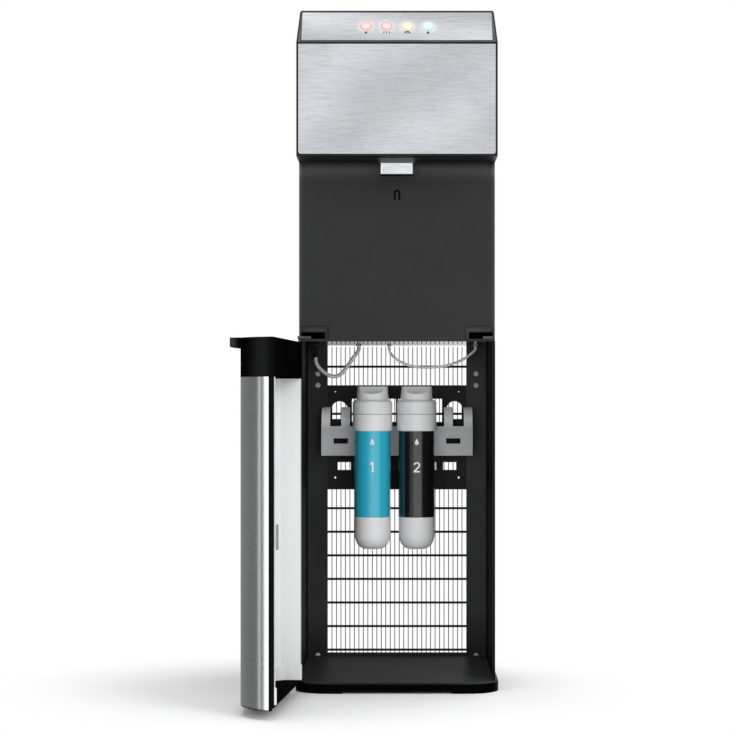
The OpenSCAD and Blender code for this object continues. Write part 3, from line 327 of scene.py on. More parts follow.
def board(name, colour):
    """A circuit board: solder mask with paler copper runs under it."""
    paint = Paint(name, 0.35)
    grid = paint.add("ShaderNodeTexBrick", {"Vector": paint.place},
                     {"Scale": 160.0, "Mortar Size": 0.05, "Color1": tint(colour, 0.9),
                      "Color2": tint(colour, 1.1), "Mortar": tint(colour, 2.2)})
    paint.into("Base Color", grid.outputs["Color"])
    paint.into("Roughness", paint.spread(paint.noise(scale=60, detail=3), 0.3, 0.45))
    paint.bump(grid.outputs["Fac"], strength=0.1, distance=0.0001)
    return paint.mat


# Places along which light and shade are painted on the materials, and the painted sheens of the two plates

BODY_X = (-0.15, 0.15)
FLANGE_X = (-0.13, 0.13)
FLANGE_Y = (0.1405, 0.1455)
FOOT_Z = (0.03, 0.10)
CAP_X = (-0.238, -0.168)
COVE_Z = (0.788, 0.824)
POCKET_Y = (-0.1475, -0.1325)
HOOK_Z = (0.405, 0.420)
SPOUT_X = (-0.036, 0.036)
SPOUT_Y = (-0.2105, -0.2075)
FILTER_RING_PITCH = 0.0056
SENSOR_MID, SENSOR_HALF, SENSOR_BAND = 0.775, 0.005, 0.003
SLOPE_RUN, SLOPE_RISE = 43, 55
HEAD_TAPER = 0.004
HEAD_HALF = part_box("head_shell")[1][0]
HEAD_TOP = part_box("head_shell")[1][2]
CREST_H = 0.012
CREST_Z = (HEAD_TOP - CREST_H, HEAD_TOP)
LEAN = HEAD_TAPER / (SLOPE_RISE * MM)
RIM_OUT = HEAD_HALF + LEAN * (HEAD_TOP - SLOPE_RISE * MM)
RIM_W = (0.0027, 0.0017)
RIM_SHADE = (RIM_OUT - RIM_W[0], RIM_OUT - RIM_W[1], (1.0, 0.08))
SKIN_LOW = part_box("door_skin")[0][2]
SKIN_W = (0.001, 0.0024)
SKIN_EDGE = (SKIN_LOW + SKIN_W[0], SKIN_LOW + SKIN_W[1])
PLATE_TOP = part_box("control_plate")[1][2]
PLATE_W = (0.0026, 0.0016)
PLATE_EDGE = (PLATE_TOP - PLATE_W[0], PLATE_TOP - PLATE_W[1])
PLATE_SHEEN = {"way": (1, 0, -1.4), "period": 0.25, "ridge": -1.409, "depth": 0.075}
CONTROL_SHEEN = {"way": (1, 0, 6.88), "period": 0.6, "ridge": 7.012, "depth": 0.17}

black = plastic("black_plastic", (0.008, 0.0081, 0.0085), 0.45, Specular_IOR_Level=0.12)
# painted light and shade on the base: faces looking up painted much lighter, faces looking sideways near
# black, and the base painted lighter towards both sides
base_black = plastic("base_black", (0.004, 0.0041, 0.0043), 0.42, grain=0.01, vary=0.03, wear=0.0,
                     patchy=0.1, Specular_IOR_Level=0.015,
                     painted_shades=[("up", 0.0, 1.0, (0.1, 5.6)), ("X", *BODY_X, (1.4, 1.15, 1.0, 1.2, 2.3))])
# painted reflection: light and dark bands across the door's cap, as its curved black surface reflects them
cap_black = plastic("cap_black", (0.0045, 0.0046, 0.0048), 0.4, grain=0.04, Specular_IOR_Level=0.0,
                    painted_shades=[("X", *CAP_X, (7.0, 0.5, 0.3, 0.8, 2.2, 2.4, 0.8, 0.3))])
trim_black = plastic("trim_black", (0.0045, 0.0046, 0.0048), 0.4, grain=0.04, Specular_IOR_Level=0.0)
charcoal = plastic("charcoal_plastic", (0.024, 0.0243, 0.025), 0.55, grain=0.2, Specular_IOR_Level=0.3)
# painted light and shade on the alcove: a painted highlight band on the cove at its top, painted shade
# right under the head, and the hinge pockets' chamfers painted lighter and their deeper faces darker
alcove_grey = plastic("alcove_plastic", (0.0185, 0.0187, 0.0192), 0.6, grain=0.16, vary=0.06, wear=0.0,
                      painted_shades=[("Z", *COVE_Z, (1.0, 1.05, 1.5, 2.0, 1.9, 0.8, 0.05)),
                              ("Y", *POCKET_Y, (1.0, 4.0, 0.6))], Specular_IOR_Level=0.2)
shell_black = plastic("shell_black", (0.011, 0.0112, 0.012), 0.45, Specular_IOR_Level=0.3)
# painted light and shade on the black steel: the rear flanges' front faces painted paler, the left darker
# and the right lighter, and a painted shadow near the floor
side_black = powder_coat("black_steel", (0.0095, 0.0096, 0.0099), 0.6, gloss=0.02,
                         painted_shades=[("Y", *FLANGE_Y, (0.75, 5.0)), ("X", *FLANGE_X, (0.82, 1.25)),
                                 ("Z", *FOOT_Z, (0.5, 1.0))])
# painted light: the same black steel as the sides, painted paler for the back plate and the rear panels
back_black = powder_coat("back_steel", (0.0225, 0.0227, 0.0234), 0.6, gloss=0.02)
# painted light and shade on the head: faces that look up painted lighter, most on the slope, darker towards
# the top edge, and a painted dark line along the outer edges of the sloping bezel
shell_satin = powder_coat("head_black", (0.004, 0.0041, 0.0043), 0.4, peel=0.05, gloss=0.2,
                          painted_shades=[("up", 0.2, 1.0, (1.0, 12.0, 16.0, 10.0, 3.0)),
                                  ("Z", *CREST_Z, (1.0, 0.6, 0.15)),
                                  ((1, 0, LEAN), *RIM_SHADE), ((-1, 0, LEAN), *RIM_SHADE)])
deck_black = powder_coat("deck_gloss", (0.012, 0.0122, 0.0127), 0.04, peel=0.003)
wire_black = powder_coat("condenser_paint", (0.006, 0.006, 0.0064), 0.45)
white = plastic("white_plastic", (0.74, 0.745, 0.75), 0.4, grain=0.04, vary=0.025, wear=0.0)
filter_white = ribbed("filter_plastic", (0.74, 0.745, 0.75), 0.42, FILTER_RING_PITCH)
liner_white = plastic("liner_white", (0.72, 0.723, 0.726), 0.42, grain=0.06, vary=0.02, wear=0.0)
grey = plastic("grey_plastic", (0.46, 0.464, 0.47), 0.5, grain=0.1, vary=0.06, wear=0.1)
# painted light: the filter bracket's hooks painted lighter than its face
bracket_grey = plastic("bracket_grey", (0.46, 0.464, 0.47), 0.5, grain=0.1, vary=0.06, wear=0.1,
                       painted_shades=[("Z", *HOOK_Z, (1.1, 1.85))])
steel = brushed("stainless", (0.60, 0.606, 0.618), 0.3, cloud=(6, 6, 4)).mat
# painted light on the front plate: lighter at the left and darker at the right, under painted sheen bands
# of reflected light
plate_steel = brushed("plate_stainless", (0.588, 0.603, 0.630), 0.3, cloud=(6, 6, 9),
                      painted_shades=[("X", *BODY_X, (1.04, 0.97))], sheen=PLATE_SHEEN).mat
# painted shade: a dark line along the lower edge of the door's skin
door_steel = brushed("door_stainless", (0.66, 0.665, 0.67), 0.14, along="Y", depth=0.02,
                     painted_shades=[("Z", *SKIN_EDGE, (0.12, 1.0))]).mat
bright = brushed("bright_steel", (0.74, 0.745, 0.75), 0.2, depth=0.03).mat
# painted shade: the spout cover near black behind its front face
spout_steel = brushed("spout_steel", (0.78, 0.785, 0.79), 0.2, depth=0.02,
                      painted_shades=[("Y", *SPOUT_Y, (1.0, 0.06))]).mat
# painted shade: both ends of the spout's base painted near black
spout_grey = plastic("spout_grey", (0.07, 0.0705, 0.072), 0.5, grain=0.1, Specular_IOR_Level=0.3,
                     painted_shades=[("X", *SPOUT_X, (0.1, 0.15, *[1.0] * 9, 0.15, 0.1))])
chrome = polished("chrome", (0.8, 0.8, 0.81), 0.12)
screw_grey = plastic("screw_grey", (0.48, 0.48, 0.485), 0.45, grain=0.05, wear=0.1)
catch_grey = plastic("catch_grey", (0.20, 0.201, 0.204), 0.5, grain=0.08, wear=0.1)
# painted shade: the cold tank and its valves painted near black, where they show in the shade of the hinge
# pockets
painted_shade_black = plastic("painted_shade_black", (0.010, 0.0101, 0.0105), 0.7, Specular_IOR_Level=0.1)
rocker_red = plastic("rocker_red", (0.46, 0.022, 0.02), 0.35, grain=0.05, wear=0.1)
rocker_blue = plastic("rocker_blue", (0.02, 0.14, 0.42), 0.35, grain=0.05, wear=0.1)
hinge_zinc = plastic("hinge_zinc", (0.035, 0.035, 0.036), 0.38, grain=0.05, wear=0.3)
lens = arched_lens("sensor_lens", (0.001, 0.001, 0.0011), (0.03, 0.0303, 0.031),
                   SENSOR_MID, SENSOR_HALF, SENSOR_BAND)
feet_rubber = rubber("rubber", (0.02, 0.02, 0.02))
blue_print = printed("blue_label", (0.028, 0.42, 0.58), 0.22, film=0.7)
black_print = printed("black_label", (0.008, 0.008, 0.0085), 0.25, film=1.0)
white_ink = printed("white_ink", (0.82, 0.83, 0.84), 0.4)
dark_ink = printed("dark_ink", (0.018, 0.0182, 0.019), 0.6, film=0.0)
green = board("green_board", (0.03, 0.15, 0.05))

# Lit buttons on the sloping plate, and the light that they throw on it, painted on the plate as a glow

SLOPE_MID = Vector((0, -0.2125, 1.0225))
SLOPE_UP = Vector((0, SLOPE_RUN, SLOPE_RISE)).normalized()
SLOPE_OUT = Vector((0, -SLOPE_RISE, SLOPE_RUN)).normalized()
PLATE_T = 0.0012
BUTTON_R = 0.0087
BUTTON_UP = -0.0025
BUTTON_GLOW = 0.74
BUTTON_UNLIT = (0.18, 0.18, 0.18, 1)
HALO_REACH = 2.0
BUTTONS = {
    "button_lock": {"across": -0.0471, "rim": (0.95, 0.42, 0.40), "pale": (1.0, 0.80, 0.78),
                    "halo": (1.0, 0.60, 0.57)},
    "button_hot": {"across": -0.0157, "rim": (0.90, 0.38, 0.43), "pale": (1.0, 0.78, 0.80),
                   "halo": (1.0, 0.60, 0.63)},
    "button_room": {"across": 0.0157, "rim": (0.98, 0.84, 0.58), "pale": (1.0, 0.94, 0.78),
                    "halo": (1.0, 0.84, 0.50)},
    "button_cold": {"across": 0.0471, "rim": (0.62, 0.92, 0.95), "pale": (0.82, 0.98, 0.99),
                    "halo": (0.56, 0.93, 0.95)},
}


def slope_point(across, up, out=0.0):
    """A point on the sloping plate, or off it, from the middle of the slope."""
    return SLOPE_MID + Vector((across, 0, 0)) + SLOPE_UP * up + SLOPE_OUT * out


def from_axis(paint, across):
    """Distance from a button's axis, as a share of its radius."""
    away = paint.add("ShaderNodeVectorMath", {0: paint.place}, {1: slope_point(across, BUTTON_UP)},
                     operation="SUBTRACT").outputs[0]
    arm = paint.add("ShaderNodeVectorMath", {0: away}, {1: SLOPE_OUT}, operation="CROSS_PRODUCT").outputs[0]
    length = paint.add("ShaderNodeVectorMath", {0: arm}, operation="LENGTH").outputs["Value"]
    return paint.math("DIVIDE", length, BUTTON_R)


def lit_button(name, across, rim, pale):
    """Translucent cap, lit from below: pale in the middle, coloured in a ring near its edge."""
    paint = Paint(name, 0.25, Coat_Weight=0.3, Coat_Roughness=0.1)
    share = from_axis(paint, across)
    tone = paint.ramp(share, [(0.0, tint(pale, 1.0)), (0.66, tint(pale, 0.97)), (0.86, tint(rim, 1.0)),
                              (0.94, tint(rim, 0.95)), (1.0, tint(pale, 0.85))])
    grain = paint.mottle(WHITE, 0.95, 1.0, scale=900, detail=3, span=SPECK_RANGE)
    skin = paint.mix(1.0, tone, grain, "MULTIPLY")
    paint.into("Base Color", paint.mix(1.0, skin, BUTTON_UNLIT, "MULTIPLY"))
    paint.into("Emission Color", skin)
    paint.bsdf.inputs["Emission Strength"].default_value = BUTTON_GLOW
    paint.into("Roughness", paint.spread(paint.noise(scale=200, detail=3), 0.2, 0.32))
    paint.bump(paint.noise(scale=1200, detail=2), strength=0.04, distance=0.0001)
    return paint.mat


def lit_plate():
    """The control plate's steel, with a painted glow of each button round it, given off by the plate."""
    # painted light: lighter at the left and darker at the right, under painted sheen bands of reflected
    # light, with a dark line along the top edge
    paint = brushed("control_stainless", (0.652, 0.664, 0.692), 0.3, cloud=(7, 3, 3),
                    painted_shades=[("X", *BODY_X, (1.02, 0.97)), ("Z", *PLATE_EDGE, (1.0, 0.08))],
                    sheen=CONTROL_SHEEN)
    glow = None
    for facts in BUTTONS.values():
        halo = facts["halo"]
        share = from_axis(paint, facts["across"])
        ring = paint.ramp(paint.math("DIVIDE", share, HALO_REACH),
                          [(0.45, tint(halo, 0.32)), (0.6, tint(halo, 0.2)), (0.78, tint(halo, 0.07)),
                           (1.0, BLACK)])
        glow = ring if glow is None else paint.mix(1.0, glow, ring, "ADD")
    paint.into("Emission Color", glow)
    paint.bsdf.inputs["Emission Strength"].default_value = 1.0
    return paint.mat


# Hoses, as the free lengths that they are

HOSE_STEPS = 8
STRANDS_ROUND = 8
STRANDS_PER_M = 330


def curve_points(route, steps):
    """Catmull-Rom points through a route."""
    found = []
    last = len(route) - 1
    for i in range(last):
        a, b = route[max(i - 1, 0)], route[i]
        c, d = route[i + 1], route[min(i + 2, last)]
        for k in range(steps):
            t = k / steps
            found.append((2 * b + (c - a) * t + (2 * a - 5 * b + 4 * c - d) * t ** 2
                          + (3 * b - a - 3 * c + d) * t ** 3) / 2)
    return found + [route[last]]


def mesh_piece(name, verts, faces, mat, body, smooth=True):
    """A mesh that rides on a body."""
    mesh = bpy.data.meshes.new(name)
    mesh.from_pydata([tuple(v) for v in verts], [], faces)
    mesh.validate()
    obj = bpy.data.objects.new(name, mesh)
    bpy.context.scene.collection.objects.link(obj)
    mesh.materials.append(mat)
    if smooth:
        mesh.shade_smooth()
    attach(obj, body)
    return obj


def hose(name, route, diameter, mat, node, sides=20):
    """A tube along a route, with a texture map of the turn round it and the metres along it."""
    points = curve_points([Vector(p) for p in route], HOSE_STEPS)
    ways = [(points[min(i + 1, len(points) - 1)] - points[max(i - 1, 0)]).normalized()
            for i in range(len(points))]
    flat = Vector((0, 1, 0))
    verts, faces = [], []
    run = [0.0]
    for a, b in zip(points, points[1:]):
        run.append(run[-1] + (b - a).length)
    for at, way in zip(points, ways):
        side = flat.cross(way)
        for k in range(sides):
            turn = 2 * math.pi * k / sides
            verts.append(at + diameter / 2 * (math.cos(turn) * side + math.sin(turn) * flat))
    for i in range(len(points) - 1):
        for k in range(sides):
            n = (k + 1) % sides
            faces.append([i * sides + k, i * sides + n, (i + 1) * sides + n, (i + 1) * sides + k])
    faces.append(list(range(sides))[::-1])
    faces.append([(len(points) - 1) * sides + k for k in range(sides)])
    obj = mesh_piece(name, verts, faces, mat, "cabinet")
    layer = obj.data.uv_layers.new(name="along")
    for poly in obj.data.polygons:
        ring = [obj.data.loops[i].vertex_index for i in poly.loop_indices]
        wrap = {0, sides - 1} <= {v % sides for v in ring}
        for loop, v in zip(poly.loop_indices, ring):
            k = v % sides
            layer.data[loop].uv = ((sides if wrap and k == 0 else k) / sides, run[v // sides])
    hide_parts(node)
    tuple(points[0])
    return obj


def braid(name, colour):
    """Silver braided sleeve: two sets of crossing strands."""
    paint = Paint(name, 0.32, 0.55)
    uv = paint.add("ShaderNodeTexCoord").outputs["UV"]
    split = paint.add("ShaderNodeSeparateXYZ", {"Vector": uv})
    round_it = paint.math("MULTIPLY", split.outputs["X"], 2 * math.pi * STRANDS_ROUND)
    along_it = paint.math("MULTIPLY", split.outputs["Y"], 2 * math.pi * STRANDS_PER_M)
    one = paint.math("SINE", paint.math("ADD", round_it, along_it))
    two = paint.math("SINE", paint.math("SUBTRACT", round_it, along_it))
    strand = paint.math("MAXIMUM", one, two)
    paint.into("Base Color", paint.ramp(strand, [(0.0, tint(colour, 0.62)), (0.9, tint(colour, 1.15))]))
    paint.into("Roughness", paint.spread(paint.noise(scale=300, detail=3), 0.25, 0.42))
    paint.bump(strand, strength=0.35, distance=0.0003)
    return paint.mat


def clear_tube(name, colour):
    """Milky flexible tube with a faint skin."""
    paint = Paint(name, 0.35, Coat_Weight=0.2, Coat_Roughness=0.2)
    paint.into("Base Color", paint.mottle(colour, 0.9, 1.06, scale=90, detail=4))
    paint.into("Roughness", paint.spread(paint.noise(scale=150, detail=3), 0.28, 0.42))
    paint.bump(paint.noise(scale=900, detail=2), strength=0.05, distance=0.0002)
    return paint.mat


HOSE_Y = 0.114
HOSE_TOP = 0.5425
INLET = {"ends": (-0.136, -0.064), "sag": 0.050, "diameter": 0.0063, "shape": [
    (0, 0.36), (0, 0.5), (0.083, 0.72), (0.25, 0.92), (0.417, 1), (0.583, 0.92),
    (0.736, 0.66), (0.861, 0.4), (0.972, 0.18), (1, 0.1), (1, 0)]}
OUTLET = {"ends": (-0.013, 0.131), "sag": 0.035, "diameter": 0.0042, "shape": [
    (0, 0), (0, 0.171), (0.042, 0.457), (0.139, 0.743), (0.278, 0.943), (0.458, 1),
    (0.66, 0.914), (0.84, 0.657), (0.951, 0.343), (1, 0.143), (1, 0)]}


def route_of(facts):
    """The points of a hose, from its two ends and its sag."""
    a, b = facts["ends"]
    return [(a + u * (b - a), HOSE_Y, HOSE_TOP - v * facts["sag"]) for u, v in facts["shape"]]


silver_hose = hose("hose_inlet", route_of(INLET), INLET["diameter"],
                   braid("braided_steel", (0.93, 0.934, 0.94)), "inlet_hose")
white_hose = hose("hose_outlet", route_of(OUTLET), OUTLET["diameter"],
                  clear_tube("white_tube", (0.86, 0.86, 0.86)), "outlet_tube")


# CAD nodes: smooth round faces, softened edges and their materials

WELD = 2e-6
SHARP = math.radians(31)
FLAT = math.radians(0.4)
BEVEL_STEPS = 2


def smoothing(angle):
    """Node group that welds a mesh, shades it smooth and keeps edges over an angle sharp."""
    group = bpy.data.node_groups.new("smooth_by_angle", "GeometryNodeTree")
    group.interface.new_socket("Geometry", in_out="INPUT", socket_type="NodeSocketGeometry")
    group.interface.new_socket("Geometry", in_out="OUTPUT", socket_type="NodeSocketGeometry")
    new = group.nodes.new
    start, end = new("NodeGroupInput"), new("NodeGroupOutput")
    bare = new("GeometryNodeRemoveAttribute")
    bare.inputs["Name"].default_value = "custom_normal"
    weld = new("GeometryNodeMergeByDistance")
    weld.inputs["Distance"].default_value = WELD
    faces = new("GeometryNodeSetShadeSmooth")
    edges = new("GeometryNodeSetShadeSmooth")
    edges.domain = "EDGE"
    edges.inputs["Shade Smooth"].default_value = False
    fold = new("GeometryNodeInputMeshEdgeAngle")
    sharp = new("FunctionNodeCompare")
    sharp.operation = "GREATER_THAN"
    sharp.inputs["B"].default_value = angle
    link = group.links.new
    link(start.outputs[0], bare.inputs["Geometry"])
    link(bare.outputs[0], weld.inputs["Geometry"])
    link(weld.outputs[0], faces.inputs["Geometry"])
    link(faces.outputs[0], edges.inputs["Geometry"])
    link(fold.outputs["Unsigned Angle"], sharp.inputs["A"])
    link(sharp.outputs[0], edges.inputs["Selection"])
    link(edges.outputs[0], end.inputs[0])
    return group


smooth_group = smoothing(SHARP)


def finish_node(name, mat, width):
    """Give a CAD node its material, and edges softened by a width in millimetres."""
    obj = nodes[name]
    obj.data.materials.clear()
    obj.data.materials.append(mat)
    obj.modifiers.new("smooth", "NODES").node_group = smooth_group
    if width:
        flat = obj.modifiers.new("flat", "DECIMATE")
        flat.decimate_type = "DISSOLVE"
        flat.angle_limit = FLAT
        bevel = obj.modifiers.new("bevel", "BEVEL")
        bevel.width = width * MM
        bevel.segments = BEVEL_STEPS
        bevel.limit_method = "ANGLE"
        bevel.angle_limit = SHARP
        bevel.harden_normals = True


FINISH = [
    (base_black, 0.6, "base"),
    (hinge_zinc, 0.5, "hinge_blank hinge_upper"),
    (shell_satin, 0.6, "head_shell"),
    (lens, 0.2, "sensor_lens"),
    (cap_black, 0.8, "door_cap"),
    (trim_black, 0.4, "door_edge_free door_edge_hinge door_foot"),
    (charcoal, 0.5, "condenser_clips drip_tray drain_plug cord_gland switch_frame"),
    (spout_grey, 0.5, "spout_base"),
    (grey, 0.3, "deck_grommets"),
    (alcove_grey, 0.0, "alcove_panel"),
    (shell_black, 0.5, "top_cover"),
    (side_black, 0.3, "side_left side_right"),
    (back_black, 0.3, "rear_panel rear_sill back_plate"),
    (deck_black, 0.3, "deck"),
    (wire_black, 0.0, "condenser_tube condenser_wires compressor"),
    (door_steel, 0.0, "door_skin"),
    (plate_steel, 0.25, "front_plate"),
    (steel, 0.25, "drip_grate"),
    (lit_plate(), 0.25, "control_plate"),
    (spout_steel, 0.4, "spout_cover"),
    (bright, 0.4, "hot_tank"),
    (chrome, 0.2, "hinge_pin"),
    (screw_grey, 0.2, "flange_screws"),
    (black, 0.3, "inlet_elbow"),
    (painted_shade_black, 0.5, "cold_tank tank_valves"),
    (white, 0.5, "inlet_port nozzles"),
    (filter_white, 0.5, "filter_head_left filter_head_right"),
    (filter_white, 0.4, "cartridge_left cartridge_right"),
    (liner_white, 0.6, "door_liner"),
    (bracket_grey, 0.5, "filter_bracket"),
    (feet_rubber, 0.4, "rubber_feet compressor_mounts"),
    (blue_print, 0.0, "label_left"),
    (black_print, 0.0, "label_right"),
    (green, 0.0, "control_board"),
    (rocker_red, 0.3, "switch_hot"),
    (rocker_blue, 0.3, "switch_cold"),
]
FINISH += [(lit_button(node, facts["across"], facts["rim"], facts["pale"]), 0.4, node)
           for node, facts in BUTTONS.items()]
for mat, width, names in FINISH:
    for node_name in names.split():
        finish_node(node_name, mat, width)


# Printed marks: strokes and filled outlines, laid on the labels and on the sloping plate

FILL_RINGS = 4
INK_T = 0.00005


def stroke(points, width):
    """Pairs of points on both sides of a line, in order along it."""
    line = [Vector(points[0])]
    for p in points[1:]:
        start, end = line[-1], Vector(p)
        parts = max(1, round((end - start).length))
        line += [start.lerp(end, k / parts) for k in range(1, parts + 1)]
    pairs = []
    for i, at in enumerate(line):
        before = (at - line[i - 1]).normalized() if i else (line[1] - at).normalized()
        after = (line[i + 1] - at).normalized() if i < len(line) - 1 else before
        way = (before + after).normalized()
        side = Vector((-way.y, way.x)) * (width / 2 / max(way.dot(before), 0.5))
        pairs.append((at + side, at - side))
    return pairs


def arc(middle, radius, start, stop, steps=14):
    """Points round a middle, between two angles in degrees."""
    found = []
    for k in range(steps + 1):
        turn = math.radians(start + (stop - start) * k / steps)
        found.append((middle[0] + radius * math.cos(turn), middle[1] + radius * math.sin(turn)))
    return found


def mark(name, strokes, fills, lay, mat, body):
    """A mark in millimetres, laid on a surface by a function of its two coordinates."""
    verts, faces = [], []
    for points, width in strokes:
        first = len(verts)
        pairs = stroke(points, width)
        verts += [lay(p.x, p.y) for pair in pairs for p in pair]
        faces += [[first + 2 * i, first + 2 * i + 1, first + 2 * i + 3, first + 2 * i + 2]
                  for i in range(len(pairs) - 1)]
    for outline in fills:
        first = len(verts)
        count = len(outline)
        middle = sum((Vector(p) for p in outline), Vector((0, 0))) / count
        for ring in range(1, FILL_RINGS + 1):
            for p in outline:
                at = middle.lerp(Vector(p), ring / FILL_RINGS)
                verts.append(lay(at.x, at.y))
        for ring in range(FILL_RINGS - 1):
            for k in range(count):
                n = (k + 1) % count
                a, b = first + ring * count, first + (ring + 1) * count
                faces.append([a + k, a + n, b + n, b + k])
        faces.append([first + k for k in range(count)])
    mesh_piece(name, verts, faces, mat, body)


def drop(middle, radius, tip):
    """Outline of a plain drop."""
    x, y = middle
    return [(x, y + tip)] + arc(middle, radius, 35, -215, 24)


FILTER_Y = 0.052
LABEL_R = 0.03002
FILTERS = {"left": -0.0403, "right": 0.0323}
NUMBER_Z = 0.343
DROP_Z = 0.384
ONE = [([(-3.2, 4.6), (0.6, 8), (0.6, -8)], 2.2)]
TWO = [(arc((0, 3.4), 4.2, 175, -38) + [(-4.4, -7), (5, -7)], 2.2)]


def on_label(side, height):
    """Lays a mark round a label."""
    def lay(x, y):
        turn = x * MM / LABEL_R
        return Vector((FILTERS[side] + LABEL_R * math.sin(turn), FILTER_Y - LABEL_R * math.cos(turn),
                       height + y * MM))
    return lay


for side, numeral in (("left", ONE), ("right", TWO)):
    mark("label_number_" + side, numeral, [], on_label(side, NUMBER_Z), white_ink, "filter_" + side)
    mark("label_drop_" + side, [], [drop((0, -1.2), 3.2, 7)], on_label(side, DROP_Z), white_ink,
         "filter_" + side)

ICON_UP = -0.0152
ICONS = {
    "button_lock": ([(arc((0, 0.6), 1.3, 0, 180), 0.6)], [[(-2, -2.2), (2, -2.2), (2, 0.7), (-2, 0.7)]]),
    "button_hot": ([([(x, -2.2), (x + 0.5, -0.8), (x - 0.2, 0.8), (x + 0.3, 2.2)], 1.3)
                    for x in (-4.4, 0, 4.4)], []),
    "button_room": ([(arc((0, -2.0), 4.0, 5, 175), 2.2), (arc((0, -2.0), 1.2, 0, 180), 1.2)], []),
    "button_cold": ([], [drop((0, -0.8), 2.1, 4.2)]),
}


def on_slope(across):
    """Lays a mark on the sloping plate."""
    def lay(x, y):
        return slope_point(across + x * MM, ICON_UP + y * MM, PLATE_T + INK_T)
    return lay


for node, (strokes, fills) in ICONS.items():
    name = "icon_" + node.removeprefix("button_")
    mark(name, strokes, fills, on_slope(BUTTONS[node]["across"]), dark_ink, "cabinet")


# Small grey catch on the rim of the door's liner

CATCH_AT = Vector((-0.1708, -0.4405, 0))
CATCH_ALONG = Vector((0.0916, 0.9958, 0))
CATCH_OUT = Vector((0.9958, -0.0916, 0))
CATCH_PROFILE = [(-2.5, -0.3), (-2.5, 1.8), (-1.8, 2.6), (1.8, 2.6), (2.5, 1.8), (2.5, -0.3)]
CATCH_LEVELS = [(0.2405, 0.8), (0.2415, 1.0), (0.2755, 1.0), (0.2765, 0.8)]


def catch():
    """A bar with softened ends and corners."""
    count = len(CATCH_PROFILE)
    verts, faces = [], []
    for height, size in CATCH_LEVELS:
        middle = CATCH_AT + Vector((0, 0, height))
        verts += [middle + CATCH_ALONG * (u * size * MM) + CATCH_OUT * (v * size * MM)
                  for u, v in CATCH_PROFILE]
    for i in range(len(CATCH_LEVELS) - 1):
        for k in range(count):
            n = (k + 1) % count
            faces.append([i * count + n, i * count + k, (i + 1) * count + k, (i + 1) * count + n])
    faces.append(list(range(count)))
    faces.append([len(verts) - 1 - k for k in range(count)])
    return mesh_piece("door_catch", verts, faces, catch_grey, "door", smooth=False)


catch()


# Studio

FLOOR = 30.0
FLOOR_LEVEL = 0.96
SHADOW_MID = (-0.13, -0.16, 0)
SHADOW_EDGE = (0.2, 0.56)
FILL = 0.55


def adder(tree):
    """A function that adds a node to a tree and gives its inputs, in order, a link or a constant."""
    def add(kind, *inputs, **settings):
        node = tree.nodes.new(kind)
        for name, value in settings.items():
            setattr(node, name, value)
        for socket, value in zip(node.inputs, inputs):
            if isinstance(value, (int, float, tuple)):
                socket.default_value = value
            else:
                tree.links.new(value, socket)
        return node
    return add


def seen_directly(add):
    """One for a ray from the camera, a mirror or glass, and nought for any other."""
    path = add("ShaderNodeLightPath").outputs
    seen = add("ShaderNodeMath", path["Is Camera Ray"], path["Is Glossy Ray"], operation="MAXIMUM")
    both = add("ShaderNodeMath", seen.outputs[0], path["Is Transmission Ray"], operation="MAXIMUM")
    return both.outputs[0]


def white_stage(name, level, middle, edge):
    """Pale floor that keeps the shadow near the object and runs out into white."""
    mat = bpy.data.materials.new(name)
    mat.use_nodes = True
    mat.node_tree.nodes.clear()
    add = adder(mat.node_tree)
    place = add("ShaderNodeTexCoord").outputs["Object"]
    away = add("ShaderNodeVectorMath", place, middle, operation="SUBTRACT")
    far = add("ShaderNodeVectorMath", away.outputs[0], operation="LENGTH")
    fade = add("ShaderNodeMapRange", far.outputs["Value"], *edge, interpolation_type="SMOOTHSTEP")
    share = add("ShaderNodeMath", fade.outputs[0], seen_directly(add), operation="MULTIPLY")
    diffuse = add("ShaderNodeBsdfDiffuse", (level, level, level, 1))
    glow = add("ShaderNodeEmission")
    mix = add("ShaderNodeMixShader", share.outputs[0], diffuse.outputs[0], glow.outputs[0])
    add("ShaderNodeOutputMaterial", mix.outputs[0])
    return mat


floor_mesh = bpy.data.meshes.new("floor")
floor_mesh.from_pydata([(-FLOOR, -FLOOR, 0), (FLOOR, -FLOOR, 0), (FLOOR, FLOOR, 0), (-FLOOR, FLOOR, 0)],
                       [], [(0, 1, 2, 3)])
floor_mesh.materials.append(white_stage("floor", FLOOR_LEVEL, SHADOW_MID, SHADOW_EDGE))
floor = bpy.data.objects.new("floor", floor_mesh)
bpy.context.scene.collection.objects.link(floor)
floor.visible_glossy = False

world = bpy.data.worlds.new("studio")
bpy.context.scene.world = world
world.use_nodes = True
sky = adder(world.node_tree)
plain = sky("ShaderNodeBackground", WHITE, FILL)
white_back = sky("ShaderNodeBackground", WHITE, 1.0)
whole = sky("ShaderNodeMixShader", seen_directly(sky), plain.outputs[0], white_back.outputs[0])
world.node_tree.links.new(whole.outputs[0], world.node_tree.nodes["World Output"].inputs[0])


# Screen round the studio that only reflections see: light in front and behind, dark at the sides,
# and narrow cards at the left for the bands on the curved door
SCREEN_R = 4.8
SCREEN_H = 2.8
SCREEN_STEPS = 96
CARDS = [(0.0, 1.1), (0.12, 1.1), (0.16, 0.12), (0.34, 0.12), (0.40, 1.0), (0.48, 1.0), (0.505, 0.38),
         (0.60, 0.28), (0.74, 0.22), (0.779, 0.22), (0.783, 1.0), (0.795, 1.0), (0.799, 0.1), (0.816, 0.1),
         (0.822, 2.1), (0.872, 2.1), (0.885, 0.4), (0.91, 1.1), (1.0, 1.1)]


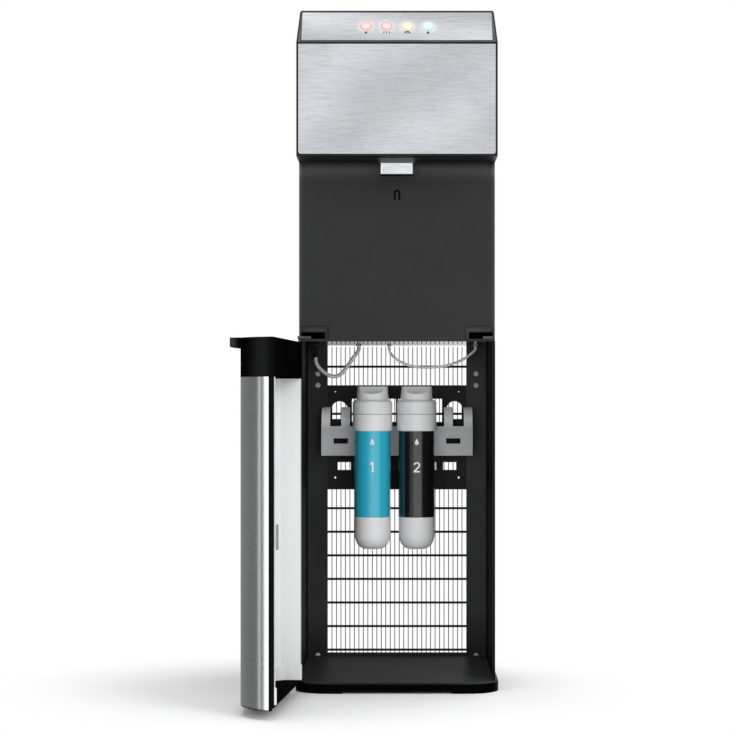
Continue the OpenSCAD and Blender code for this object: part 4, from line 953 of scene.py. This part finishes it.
def reflected_screen():
    """An upright ring of light and dark cards round the object."""
    verts, faces = [], []
    for k in range(SCREEN_STEPS):
        turn = 2 * math.pi * k / SCREEN_STEPS
        at = (-SCREEN_R * math.sin(turn), SCREEN_R * math.cos(turn))
        verts += [(*at, -SCREEN_H), (*at, SCREEN_H)]
        n = (k + 1) % SCREEN_STEPS
        faces.append([2 * k, 2 * n, 2 * n + 1, 2 * k + 1])
    mesh = bpy.data.meshes.new("reflected_screen")
    mesh.from_pydata(verts, [], faces)
    paint = Paint("screen_cards")
    split = paint.add("ShaderNodeSeparateXYZ", {"Vector": paint.place})
    turn = paint.math("ARCTAN2", paint.math("MULTIPLY", split.outputs["X"], -1.0), split.outputs["Y"])
    level = paint.math("ADD", paint.math("MULTIPLY", turn, 0.5 / math.pi), 0.5)
    cards = paint.ramp(level, [(at, (shade, shade, shade, 1)) for at, shade in CARDS])
    shine = paint.add("ShaderNodeEmission", {"Color": cards})
    paint.tree.links.new(shine.outputs[0], paint.tree.nodes["Material Output"].inputs["Surface"])
    mesh.materials.append(paint.mat)
    obj = bpy.data.objects.new("reflected_screen", mesh)
    bpy.context.scene.collection.objects.link(obj)
    obj.visible_camera = obj.visible_diffuse = obj.visible_shadow = obj.visible_transmission = False


reflected_screen()


LAMPS = {
    "key": {"at": (2.0, -2.8, 2.2), "aim": (-0.1, -0.1, 0.4), "size": (1.4, 1.8), "power": 48},
    "fill": {"at": (-1.8, -3.2, 1.4), "aim": (0, 0, 0.5), "size": (1.4, 1.6), "power": 14},
    "front": {"at": (0.2, -4.4, 0.5), "aim": (0, 0, 0.4), "size": (2.6, 1.4), "power": 80},
    "top": {"at": (0, 0.1, 3.2), "aim": (0, 0, 0.5), "size": (2.8, 2.8), "power": 42},
}


def lamp(name, at, aim, size, power):
    """A soft lamp that neither the camera nor a reflection sees."""
    data = bpy.data.lights.new(name, "AREA")
    data.shape = "RECTANGLE"
    data.size, data.size_y = size
    data.energy = power
    obj = bpy.data.objects.new(name, data)
    obj.location = at
    obj.rotation_euler = (Vector(aim) - Vector(at)).to_track_quat("-Z", "Y").to_euler()
    obj.visible_camera = obj.visible_glossy = False
    bpy.context.scene.collection.objects.link(obj)


for name, facts in LAMPS.items():
    lamp(name, **facts)
